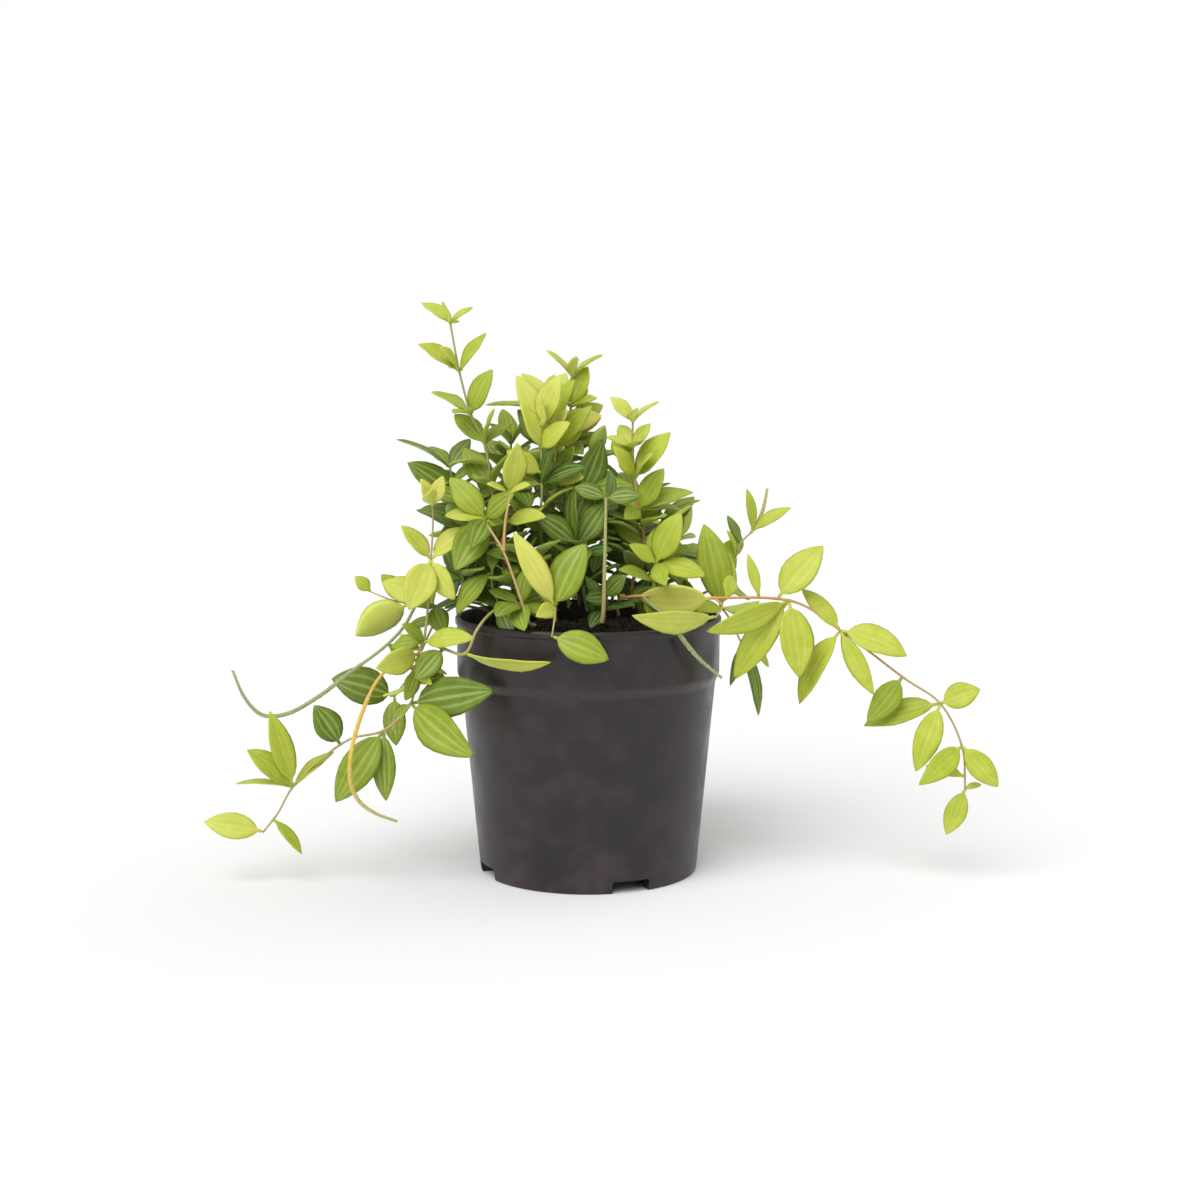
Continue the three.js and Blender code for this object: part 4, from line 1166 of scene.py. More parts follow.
addedLeaves = [
    dict(
        of="shoot_trailing_right", tones=(0.8, 0.7, 0.7),
        leaves=[(2.65, -5, 4, 19, 50, 5), (2.3, 3, 8, 9, 50, 8)],
    ),
    dict(
        of="shoot_centre_top", tones=(0.3, 0.9, 1.0),
        leaves=[
            (4, -10, 4, 19, 60, 10), (4, 1, 3, 22, 80, 10), (4, 10, 3, 18, 75, 10), (4, -4, -8, 18, 80, 9),
            (3.6, 12, -3, 20, 80, 11), (3.5, -12, 3, 18, 75, 10), (3.5, 6, -10, 19, 80, 10),
            (3.6, 10, 6, 21, 80, 11), (3.6, -4, 8, 21, 80, 11), (3.6, 16, 3, 16, 75, 10),
            (3, -9, -12, 20, 80, 11), (3, 8, -12, 21, 80, 11), (3, 16, 3, 18, 70, 11),
            (3, 1, 10, 21, 60, 11), (2.4, -14, -8, 17, 70, 11), (2.4, 12, -10, 18, 70, 11),
            (2, 2, -16, 14, 50, 11),
        ],
        whorls=[(1.5, 3, 240, 60, 22, 60), (0.6, 3, 280, 64, 22, 60)],
    ),
    dict(
        of="shoot_centre_bright", tones=(0.2, 0.85, 1.0),
        leaves=[
            (3, -2, -9, 18, 80, 9), (3, 10, 0, 19, 75, 10), (3, -9, 2, 18, 70, 9), (3, 14, 4, 17, 75, 10),
            (2.5, 12, -12, 14, 65, 10), (2.5, -3, -14, 14, 60, 10), (2, 14, 4, 16, 60, 11),
            (2, -10, 8, 18, 60, 11),
        ],
        whorls=[(1.4, 3, 250, 60, 22, 60), (0.6, 3, 230, 64, 22, 60)],
    ),
    dict(
        of="shoot_centre_back", tones=(0.1, 0.4, 0.9),
        leaves=[
            (4, -10, -6, 16, 75, 10), (4, 8, -8, 16, 70, 10), (3.5, 14, -3, 14, 70, 10),
            (3.5, -12, 0, 15, 70, 10), (3, 12, -10, 16, 70, 11), (3, -4, -12, 18, 70, 11),
            (3.4, 4, -6, 19, 80, 10), (2.8, 9, -5, 19, 80, 10),
        ],
        whorls=[(2.5, 3, 250, 60, 22, 50), (1.5, 3, 290, 60, 24, 70), (0.6, 3, 300, 64, 24, 70)],
    ),
    dict(
        of="shoot_right_middle", tones=(0.15, 0.6, 0.85),
        leaves=[
            (5, -6, -4, 10, 60, 6), (5, 6, 3, 11, 50, 6), (4, 12, 2, 10, 60, 9), (4, -9, -6, 12, 60, 9),
            (4, 3, -6, 14, 75, 9), (3.5, 12, -6, 13, 70, 10), (3.5, -10, 4, 14, 60, 10),
            (3, 4, -10, 17, 75, 11), (3, 12, 8, 14, 60, 10), (2.4, 14, -6, 12, 60, 10),
            (2.4, -12, 2, 13, 60, 10), (2, 3, -14, 12, 60, 10),
        ],
        whorls=[(1, 3, 270, 60, 20, 60), (0.6, 3, 230, 62, 20, 60)],
    ),
    dict(
        of="shoot_tall_left", tones=(0.2, 0.6, 0.9),
        leaves=[(6, 4, 6, 10, 30, 5), (5, 2, 9, 12, 40, 7)],
        whorls=[(2.5, 2, 200, 58, 19, 40), (1.5, 3, 260, 60, 22, 60), (0.5, 3, 220, 64, 22, 60)],
    ),
    dict(
        of="shoot_left_middle", tones=(0.2, 0.5, 0.8),
        whorls=[(2, 3, 100, 50, 16), (1.2, 3, 200, 58, 18, 60), (0.6, 3, 280, 62, 20, 60)],
    ),
    dict(
        of="shoot_left_back", tones=(0.1, 0.2, 0.4),
        whorls=[
            (2.5, 2, 60, 55, 18), (1.6, 3, 20, 60, 22, 70), (0.8, 3, 230, 62, 22, 75),
            (0.3, 3, 300, 64, 22, 75),
        ],
    ),
    dict(
        of="shoot_centre_low", tones=(0.05, 0.15, 0.3),
        whorls=[(1.5, 3, 280, 60, 20, 40), (0.6, 3, 200, 62, 20, 60)],
    ),
    dict(
        of="shoot_inner_left", tones=(0.05, 0.1, 0.25),
        whorls=[(0.8, 3, 260, 62, 23, 75), (1.6, 3, 220, 60, 22, 75)],
    ),
    dict(
        of="shoot_inner_centre", tones=(0.02, 0.08, 0.2),
        whorls=[(0.6, 3, 300, 64, 24, 75), (1.5, 3, 270, 60, 24, 75)],
    ),
    dict(
        of="shoot_inner_right", tones=(0.02, 0.12, 0.3),
        whorls=[(0.2, 3, 280, 64, 22, 60), (0.9, 3, 280, 62, 23, 75), (1.6, 3, 230, 60, 22, 60)],
    ),
    dict(
        of="shoot_inner_back", tones=(0.05, 0.12, 0.35),
        whorls=[(1, 3, 250, 62, 24, 75), (1.8, 3, 290, 60, 22, 60), (2.6, 3, 240, 56, 19)],
    ),
    dict(
        of="shoot_right_near", tones=(0.5, 0.6, 0.75),
        whorls=[(0.4, 3, 280, 60, 18, 50), (1, 3, 200, 50, 15)],
    ),
    dict(
        of="shoot_right_low", tones=(0.4, 0.5, 0.6),
        whorls=[(0.3, 3, 250, 62, 18, 30), (1, 2, 200, 55, 17)],
    ),
    dict(
        of="shoot_back_middle", tones=(0.1, 0.3, 0.6),
        whorls=[(0.8, 3, 60, 62, 25), (1.6, 3, 30, 60, 24), (2.5, 3, 80, 55, 20)],
    ),
    dict(
        of="shoot_back_left", tones=(0.1, 0.3, 0.6),
        whorls=[(0.8, 3, 60, 62, 24), (1.6, 3, 100, 58, 22)],
    ),
    dict(
        of="shoot_back_right", tones=(0.1, 0.3, 0.6),
        whorls=[(0.8, 3, 20, 62, 24), (1.6, 3, 60, 58, 22)],
    ),
    dict(
        of="shoot_left_near", tones=(0.2, 0.25, 0.4),
        leaves=[(1, -6, -6, -22, 8, 12), (1, 7, -8, -20, 8, 12)],
        whorls=[(0.6, 3, 240, 60, 20, 70)],
    ),
    dict(
        of="shoot_trailing_left", tones=(0.9, 0.8, 0.8),
        leaves=[(5.5, -17, -17, -4, 85, 12), (5.7, 2, -17, -9, 60, 9), (5.7, -12, -14, -13, 80, 9)],
        whorls=[(5.4, 2, 200, 62, 17), (6.4, 3, 240, 62, 17)],
    ),
]

# Thin stems that show in front of the dark middle: an olive one, and a brown one that forks
frontStems = [
    dict(
        root=(6, -42), thick=2, tones=(0.15, 0.15, 0.15), blush=(0.35, 0.3, 0.2),
        route=[(6.8, -43.5, 125), (7.2, -43.5, 142), (7.6, -42, 158), (7.9, -38, 173)],
        leaves=[(3, 2, 12, 12, 60, 9), (3, 12, 4, 9, 50, 9), (3, -11, 2, 10, 50, 9)],
    ),
    dict(
        root=(-22, -43), thick=1.5, tones=(0.5, 0.5, 0.5), blush=(0.45, 0.6, 0.65),
        route=[(-25.5, -45, 120), (-30, -46, 133.7), (-36, -46, 150.1), (-43.3, -39, 161)],
    ),
    dict(
        thick=1.3, tones=(0.5, 0.5, 0.5), blush=(0.6, 0.7, 0.6),
        route=[(-36, -46, 150.1), (-35.3, -46, 163), (-33.4, -41.5, 174)],
    ),
]

leafValues = {
    "widthToLength": 0.51,
    "thickness": 1.25,
    "petioleWidth": 1.5,
    "petioleShare": 0.1,
    "headStart": 0.02,  # how wide the blade starts, as a share of its run
    "fullness": (0.86, 0.8),
    "foldRise": 0.22,
    "foldPower": 1.25,
    "edgeWave": 0.07,
    "wavePhases": (40.0, 11.0),  # what luck and the share from root to tip add to the wave's phase
    "tipNarrow": 0.88,
    "tipThin": 0.86,
    "rollSpread": 16,
    "widthSpread": 0.12,
    "bowLeast": 0.03,
    "bowSpread": 0.05,
    "turnSpread": 20,
    "openSpread": 14,
    "lengthSpread": 0.24,
    "toneSpread": 0.16,
    "endInset": 0.03,
    "firstSeed": 101,
    "addedSeed": 301,
    "innerSlot": "foliage_mature",
    "leanSizes": (1, 0.85, 0.7),
    "leanReaches": (12, 24, 38, 54),
    "leanWays": (
        (1, 0), (-1, 0), (0, 1), (0, -1), (0.7, 0.7), (-0.7, 0.7), (0.7, -0.7), (-0.7, -0.7),
    ),
    "tipMatch": 0.05,
}
clearValues = {
    "between": 1.3,
    "grid": 3,
    "overSoil": 3,
    "overRim": 1.5,
    "rimBand": (53, 65),
    "insideBox": 1,
    "shares": (0.14, 0.24, 0.35, 0.46, 0.57, 0.68, 0.79, 0.9, 1),
    "across": (-1, -0.5, 0, 0.5, 1),
    "stemSteps": 40,
}
leafLook = {
    "dark": paint(62, 92, 30),
    "middle": paint(138, 155, 43),
    "fresh": paint(173, 184, 58),
    "lime": paint(200, 204, 97),
    "toneStops": (0.0, 0.45, 0.75, 1.0),
    "toneMottle": 0.1,
    "warm": paint(208, 178, 84),
    "tinge": 0.22,
    "tingedLuck": 0.6,
    "tingedTones": (0.85, 1.05),
    "darkVein": paint(142, 170, 96),
    "limeVein": paint(228, 234, 130),
    "darkUnder": paint(150, 176, 92),
    "limeUnder": paint(212, 217, 106),
    "underEdge": (-0.35, -0.05),
    "underShare": 0.8,
    "veinCore": 0.02,
    "midribWidth": 0.15,
    "veinPlace": 0.46,
    "veinWidth": 0.13,
    "lateralShare": 0.7,
    "tipFade": 0.9,
    "tipVeins": 0.2,
    "veinTones": (0.1, 0.7),
    "veinStrengths": (0.65, 0.2),
    "veinHeight": -0.6,
    "grainHeight": 0.04,
    "relief": (0.1, 0.15),
    "patchSize": 5,
    "grainSize": 1.0,
    "roughness": 0.4,
    "roughSpread": 0.12,
    "shine": 0.3,
    "glow": (0.25, (0.7, 1.0, 0.3), 1.5),
}
stemValues = {
    "step": 1.5,
    "leastSteps": 6,
    "rootInset": 0.75,
    "radiusShare": 0.52,
    "taper": 0.45,
    "jointSwell": 0.3,
    "jointReach": 1.3,
    "sides": 10,
    "below": (-14, -3, 9),
    "green": paint(152, 158, 88),
    "tan": paint(178, 158, 108),
    "orange": paint(210, 150, 82),
    "blushStops": (0.1, 0.5, 0.95),
    "blushMottle": 0.35,
    "patchSize": 4,
    "grainSize": 0.4,
    "relief": (0.3, 0.1),
    "roughness": 0.42,
    "roughSpread": 0.1,
    "glow": (0.15, (1.0, 0.7, 0.3), 1.0),
}
up = Vector((0, 0, 1))


def drawer(seed):
    # the part's own seeded generator, so that the leaves stand where its leaves do
    mask = 0xFFFFFFFF
    state = [seed]

    def draw():
        state[0] = (state[0] + 0x6D2B79F5) & mask
        t = state[0]
        t = ((t ^ (t >> 15)) * (t | 1)) & mask
        t ^= (t + (((t ^ (t >> 7)) * (t | 61)) & mask)) & mask
        return ((t ^ (t >> 14)) & mask) / 4294967296

    return draw


def makeLine(stem):
    below = []
    if "root" in stem:
        below = [(*stem["root"], soilValues["level"] + rise) for rise in stemValues["below"]]
    points = [Vector(p) for p in (*below, *stem["route"])]
    return {"points": points, "first": len(below), "spans": len(points) - 1}


def lengthOf(line):
    return sum((b - a).length for a, b in zip(line["points"], line["points"][1:]))


def pointAt(line, share):
    # a Catmull-Rom curve through the points
    points = line["points"]
    last = len(points) - 1
    reach = last * share
    index = int(math.floor(reach))
    rest = reach - index
    if rest == 0 and index == last:
        index = last - 1
        rest = 1.0
    before = points[index - 1] if index > 0 else points[0] * 2 - points[1]
    after = points[index + 2] if index + 2 <= last else points[last] * 2 - points[last - 1]
    here = points[index]
    following = points[index + 1]
    leaving = (following - before) * 0.5
    arriving = (after - here) * 0.5
    square = here * -3 + following * 3 - leaving * 2 - arriving
    cube = here * 2 - following * 2 + leaving + arriving
    return here + leaving * rest + square * rest ** 2 + cube * rest ** 3


def tangentAt(line, share):
    near = 0.0001
    return (pointAt(line, min(1, share + near)) - pointAt(line, max(0, share - near))).normalized()


def squareTo(vector, axis):
    # what is left of a vector at right angles to an axis
    return (vector - axis * vector.dot(axis)).normalized()


def meantLeaves(stem, line, seed):
    # the leaves of a stem's rows and whorls, before they lean
    v = leafValues
    draw = drawer(seed)
    leaves = []

    def spread(name):
        return v[name] * (draw() - 0.5)

    def push(at, along, length, upright, roll, wide=None):
        share = min((line["first"] + at) / line["spans"], 1 - v["endInset"] / line["spans"])
        level = squareTo(upright, along)
        across = along.cross(level)
        towards = -1 if across.y > 0 else 1
        turn = math.radians(roll + spread("rollSpread"))
        face = level * math.cos(turn) + across * (towards * math.sin(turn))
        leaves.append({
            "joint": pointAt(line, share),
            "at": at,
            "along": along,
            "face": face,
            "side": along.cross(face),
            "length": length,
            "width": length * v["widthToLength"] * (1 + spread("widthSpread")) if wide is None else wide,
            "bow": v["bowLeast"] + v["bowSpread"] * draw(),
            "tone": None,
        })

    for at, x, y, z, roll, *wide in stem.get("leaves", ()):
        reach = Vector((x, y, z))
        push(at, reach.normalized(), reach.length, up, roll, *wide)
        leaves[-1]["tone"] = stem.get("own", {}).get(len(leaves) - 1)
    for at, count, turn, opening, length, *droop in stem.get("whorls", ()):
        axis = tangentAt(line, min(1, (line["first"] + at) / line["spans"]))
        back = squareTo(Vector((0, 1, 0)), axis)
        aside = back.cross(axis)
        for index in range(count):
            about = math.radians(turn + index * 360 / count + spread("turnSpread"))
            opened = math.radians(opening + spread("openSpread"))
            around = aside * math.cos(about) + back * math.sin(about)
            opened += math.radians(sum(droop)) * max(0, -around.y)
            along = (axis * math.cos(opened) + around * math.sin(opened)).normalized()
            push(at, along, length * (1 + spread("lengthSpread")), axis, 0)
    return leaves


def leaned(leaf, sideways, facing, size):
    a = math.radians(sideways)
    b = math.radians(facing)
    along = leaf["along"] * (math.cos(a) * math.cos(b)) + leaf["side"] * (math.sin(a) * math.cos(b))
    along = (along + leaf["face"] * math.sin(b)).normalized()
    face = squareTo(leaf["face"], along)
    sizes = {name: leaf[name] * size for name in ("length", "width")}
    return {**leaf, "along": along, "face": face, "side": along.cross(face), **sizes}


leans = [(0, 0, 1)]
for leanSize in leafValues["leanSizes"]:
    for leanReach in leafValues["leanReaches"]:
        leans.extend((x * leanReach, y * leanReach, leanSize) for x, y in leafValues["leanWays"])


def grownLeaf(leaf, solid):
    # the leaf with the lean that its solid has: the one whose tip is a corner of the node
    for lean in leans:
        tried = leaned(leaf, *lean)
        tip = tried["joint"] + tried["along"] * tried["length"]
        if solid.find(tip)[2] < leafValues["tipMatch"]:
            return tried
    return None


def cornersOf(node):
    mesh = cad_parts[node].data
    tree = KDTree(len(mesh.vertices))
    for index, vertex in enumerate(mesh.vertices):
        tree.insert(vertex.co / mm, index)
    tree.balance()
    return tree


def toneAt(tones, share):
    start, middle, end = tones
    if share < 0.5:
        return start + (middle - start) * share * 2
    return middle + (end - middle) * (share - 0.5) * 2


def newGuide(name, points, edges, columns):
    # loose points and lines whose named attributes steer a Geometry Nodes tree
    guide = newMeshObject(name, [p * mm for p in points], edges, [])
    for title, values in columns.items():
        isVector = isinstance(values[0], Vector)
        layer = guide.data.attributes.new(title, "FLOAT_VECTOR" if isVector else "FLOAT", "POINT")
        if isVector:
            layer.data.foreach_set("vector", [part for value in values for part in value])
        else:
            layer.data.foreach_set("value", values)
    return guide


def addStem(guide, line, stem, leaves):
    # a run of points along the stem, a little thicker where leaves join it
    v = stemValues
    steps = max(v["leastSteps"], math.ceil(lengthOf(line) / v["step"]))
    start = line["first"] / line["spans"] * v["rootInset"]
    for step in range(steps + 1):
        here = pointAt(line, start + (1 - start) * step / steps)
        near = min(((here - leaf["joint"]).length for leaf in leaves), default=math.inf)
        swell = 1 + v["jointSwell"] * math.exp(-((near / v["jointReach"]) ** 2))
        radius = stem["thick"] * v["radiusShare"] * (1 - v["taper"] * step / steps) * swell
        if step:
            guide["edges"].append((len(guide["points"]) - 1, len(guide["points"])))
        guide["points"].append(here)
        guide["rows"].append({"stemRadius": radius * mm, "stemBlush": toneAt(stem["blush"], step / steps)})


def addLeaves(guide, leaves, tones, last, luckSeed):
    lucky = random.Random(luckSeed)
    for leaf in leaves:
        luck = lucky.random()
        tone = leaf["tone"] if leaf["tone"] is not None else toneAt(tones, min(1, leaf["at"] / last))
        guide["points"].append(leaf["joint"])
        guide["rows"].append({
            "isLeaf": 1.0,
            "leafJoint": leaf["joint"] * mm,
            "leafAlong": leaf["along"],
            "leafSide": leaf["side"],
            "leafFace": leaf["face"],
            "leafLength": leaf["length"] * mm,
            "leafWidth": leaf["width"] * mm,
            "leafBow": leaf["bow"],
            "leafLuck": luck,
            "leafTone": tone + leafValues["toneSpread"] * (luck - 0.5),
        })


def leafSamples(leaf):
    # points of a blade, in millimetres, by which added leaves are kept clear of it
    early, full = leafValues["fullness"]
    points = []
    for share in clearValues["shares"]:
        half = 0.5 * leaf["width"] * max(0, math.sin(math.pi * share ** early)) ** full
        lift = leaf["bow"] * leaf["length"] * 4 * share * (1 - share)
        for across in clearValues["across"]:
            fold = leafValues["foldRise"] * half * abs(across)
            points.append(
                leaf["joint"] + leaf["along"] * (leaf["length"] * share)
                + leaf["side"] * (half * across) + leaf["face"] * (lift + fold)
            )
    return points


def cellOf(point, shift=(0, 0, 0)):
    return tuple(int(math.floor(point[i] / clearValues["grid"])) + shift[i] for i in range(3))


def fillCells(cells, points):
    for point in points:
        cells.setdefault(cellOf(point), []).append(point)


nearCells = [(x, y, z) for x in (-1, 0, 1) for y in (-1, 0, 1) for z in (-1, 0, 1)]


def isClear(points, cells):
    # inside the solids' box, over the soil and the rim, and clear of what has grown before
    v = clearValues
    low, high = (Vector(corner) / mm for corner in cadBox)
    inner, outer = v["rimBand"]
    for point in points:
        if any(not low[i] + v["insideBox"] < point[i] < high[i] - v["insideBox"] for i in range(3)):
            return False
        fromMiddle = math.hypot(point.x, point.y)
        if point.z < soilValues["level"] + v["overSoil"] and fromMiddle <= inner:
            return False
        if point.z < potValues["height"] + v["overRim"] and inner < fromMiddle < outer:
            return False
        for shift in nearCells:
            if any((point - other).length < v["between"] for other in cells.get(cellOf(point, shift), ())):
                return False
    return True


def clearLeaf(leaf, cells):
    for lean in leans:
        tried = leaned(leaf, *lean)
        points = leafSamples(tried)
        if isClear(points, cells):
            fillCells(cells, points)
            return tried
    return None


def newLeafPattern():
    # a closed blade: share runs from root to tip, across from edge to edge, over from under to top
    shares = (0.045, 0.1, 0.16, 0.25, 0.37, 0.5, 0.63, 0.76, 0.87, 0.95)
    section = (
        (-1, 0), (-0.8, 0.72), (-0.44, 1), (0, 0.92), (0.44, 1), (0.8, 0.72),
        (1, 0), (0.64, -0.85), (0, -1), (-0.64, -0.85),
    )
    points = [(0, 0, 0)]
    for share in shares:
        points.extend((share, across, over) for across, over in section)
    points.append((1, 0, 0))
    count = len(section)
    last = len(points) - 1 - count
    faces = []
    for index in range(count):
        following = (index + 1) % count
        faces.append((0, 1 + index, 1 + following))
        for near in range(1, last, count):
            far = near + count
            faces.append((near + index, far + index, far + following, near + following))
        faces.append((last + index, len(points) - 1, last + following))
    pattern = newMeshObject("leafPattern", points, [], faces)
    for axis, title in enumerate(("leafShare", "leafAcross", "leafOver")):
        layer = pattern.data.attributes.new(title, "FLOAT", "POINT")
        layer.data.foreach_set("value", [point[axis] for point in points])
    return pattern


def curveOf(lines):
    return made(lines.tree, "GeometryNodeMeshToCurve", {"Mesh": lines})


def swept(curve, sides, radius, caps=True):
    ring = made(curve.tree, "GeometryNodeCurvePrimitiveCircle", {"Resolution": sides, "Radius": 1.0})
    inputs = {"Curve": curve, "Profile Curve": ring, "Scale": radius, "Fill Caps": caps}
    return made(curve.tree, "GeometryNodeCurveToMesh", inputs)


def makeShootTree():
    v = leafValues
    tree, given, end = newGeometryTree("leafyShoot", {
        "Leaf Pattern": ("NodeSocketObject", None),
        "Stem Sides": ("NodeSocketInt", 8),
        "Blade Thickness": ("NodeSocketFloat", mm),
        "Petiole Width": ("NodeSocketFloat", mm),
        "Petiole Share": ("NodeSocketFloat", 0.1),
        "Fold Rise": ("NodeSocketFloat", 0.2),
        "Edge Wave": ("NodeSocketFloat", 0.05),
        "Stem Material": ("NodeSocketMaterial", None),
        "Leaf Material": ("NodeSocketMaterial", None),
    })
    inputs = {"Geometry": given["Geometry"], "Selection": named(tree, "isLeaf") > 0.5}
    parts = addNode(tree, "GeometryNodeSeparateGeometry", {"domain": "POINT"}, inputs)
    curve = curveOf(Term(parts.outputs["Inverted"]))
    stems = coated(swept(curve, given["Stem Sides"], named(tree, "stemRadius")), given["Stem Material"])

    # the pattern stands on each leaf's point, then every corner moves to its place on the blade
    pattern = made(tree, "GeometryNodeObjectInfo", {"Object": given["Leaf Pattern"]}, output="Geometry")
    inputs = {"Points": Term(parts.outputs["Selection"]), "Instance": pattern}
    corners = realized(made(tree, "GeometryNodeInstanceOnPoints", inputs))
    share, across, over = (named(tree, title) for title in ("leafShare", "leafAcross", "leafOver"))
    length = named(tree, "leafLength")
    reach = abs(across)
    petiole = given["Petiole Share"]
    least = given["Petiole Width"] * 0.5 * remap(share, (v["tipNarrow"], 1.0), (1.0, 0.0), False)
    onBlade = share > petiole + 0.001
    run = ((share - petiole + v["headStart"]) / (1 + v["headStart"] - petiole)).math("MAXIMUM", 0.0)
    early, full = v["fullness"]
    oval = (run ** early * math.pi).math("SINE").math("MAXIMUM", 0.0) ** full
    half = (named(tree, "leafWidth") * 0.5 * oval * onBlade).math("MAXIMUM", least)

    bow = named(tree, "leafBow") * length * (share * 4.0 * (1.0 - share))
    fold = given["Fold Rise"] * reach ** v["foldPower"]
    byLuck, byShare = v["wavePhases"]
    phase = named(tree, "leafLuck") * byLuck + share * byShare + across
    wave = phase.math("SINE") * given["Edge Wave"] * (reach * reach)
    raised = (fold + wave) * (half * onBlade)
    thin = remap(share, (v["tipThin"], 1.0), (1.0, 0.0), False) ** 0.5
    lift = bow + (over * (given["Blade Thickness"] * 0.5 * thin) + raised)

    point = named(tree, "leafJoint", "FLOAT_VECTOR")
    for title, amount in {"leafAlong": length * share, "leafSide": half * across, "leafFace": lift}.items():
        point = vectorSum(point, scaled(named(tree, title, "FLOAT_VECTOR"), amount))
    shaped = made(tree, "GeometryNodeSetPosition", {"Geometry": corners, "Position": point})
    feed(joined(stems, coated(shaped, given["Leaf Material"])), end.inputs["Geometry"])
    return tree


def softLook(v):
    # how far light scatters under the skin of leaves and stems
    weight, radius, scale = v["glow"]
    return {"Subsurface Weight": weight, "Subsurface Radius": radius, "Subsurface Scale": scale * mm}


def makeLeafMaterial():
    v = leafLook
    material, shader = newMaterial("peperomiaLeaf")
    reach = abs(attribute(shader, "leafAcross"))
    patches, grain = uneven(shader, v)
    tone = (patches - 0.5) * v["toneMottle"] + attribute(shader, "leafTone")
    blade = ramp(tone, v["toneStops"], [v["dark"], v["middle"], v["fresh"], v["lime"]])

    # some of the youngest leaves are tinged with orange
    tinge = remap(attribute(shader, "leafLuck"), (v["tingedLuck"], 1.0), (0.0, v["tinge"]))
    blade = mixed(tinge * remap(tone, v["tingedTones"]), blade, v["warm"])

    midrib = remap(reach, (v["veinCore"], v["midribWidth"]), (1.0, 0.0))
    lateral = remap(abs(reach - v["veinPlace"]), (v["veinCore"], v["veinWidth"]), (1.0, 0.0))
    veins = midrib.math("MAXIMUM", lateral * v["lateralShare"])
    veins = veins * remap(attribute(shader, "leafShare"), (v["tipFade"], 1.0), (1.0, v["tipVeins"]))
    strength = remap(tone, v["veinTones"], v["veinStrengths"])
    top = mixed(veins * strength, blade, mixed(tone, v["darkVein"], v["limeVein"]))

    under = remap(attribute(shader, "leafOver"), v["underEdge"], (1.0, 0.0))
    feedAll(shader, {
        "Base Color": mixed(under * v["underShare"], top, mixed(tone, v["darkUnder"], v["limeUnder"])),
        "Roughness": patches * v["roughSpread"] + v["roughness"],
        "Specular IOR Level": v["shine"],
        **softLook(v),
    })
    relief(shader, veins * v["veinHeight"] + grain * v["grainHeight"], v)
    return material


def makeStemMaterial():
    v = stemValues
    material, shader = newMaterial("peperomiaStem")
    patches, grain = uneven(shader, v)
    blush = (patches - 0.5) * v["blushMottle"] + attribute(shader, "stemBlush")
    feedAll(shader, {
        "Base Color": ramp(blush, v["blushStops"], [v["green"], v["tan"], v["orange"]]),
        "Roughness": grain * v["roughSpread"] + v["roughness"],
        **softLook(v),
    })
    relief(shader, grain, v)
    return material


def newRows(slot):
    return {"points": [], "edges": [], "rows": [], "slot": slot}


def growSolidShoots(lines, cells):
    # the stems and leaves that the solids have, by node
    guides = {}
    missing = 0
    for index, stem in enumerate(leafyStems):
        node = stem.get("node") or stem["on"]
        line = makeLine(stem)
        last = max(1, len(stem["route"]) - 1)
        if node not in guides:
            guides[node] = newRows(stem["slot"])
            lines[node] = (line, last)
        solid = cornersOf(node)
        meant = meantLeaves(stem, line, leafValues["firstSeed"] + index)
        grown = [leaf for leaf in (grownLeaf(leaf, solid) for leaf in meant) if leaf]
        missing += len(meant) - len(grown)
        addStem(guides[node], line, stem, grown)
        addLeaves(guides[node], grown, stem["tones"], last, index)
        for leaf in grown:
            fillCells(cells, leafSamples(leaf))
    print("leaves that the solids don't have:", missing)
    return guides


def growBetween(lines, cells):
    # the added leaves and small shoots, each clear of all that stands already
    steps = clearValues["stemSteps"]
    for stem in (*leafyStems, *innerShoots, *frontStems):
        line = makeLine(stem)
        fillCells(cells, [pointAt(line, step / steps) for step in range(steps + 1)])
    inner = newRows(leafValues["innerSlot"])
    counts = {"meant": 0, "grown": 0}
    for index, stem in enumerate((*innerShoots, *addedLeaves, *frontStems)):
        seed = leafValues["addedSeed"] + index
        line, last = lines[stem["of"]] if "of" in stem else (makeLine(stem), len(stem["route"]) - 1)
        meant = meantLeaves(stem, line, seed)
        grown = [leaf for leaf in (clearLeaf(leaf, cells) for leaf in meant) if leaf]
        counts["meant"] += len(meant)
        counts["grown"] += len(grown)
        if "route" in stem:
            addStem(inner, line, stem, grown)
        addLeaves(inner, grown, stem["tones"], last, seed)
    print("added leaves:", counts["grown"], "of", counts["meant"])
    return inner


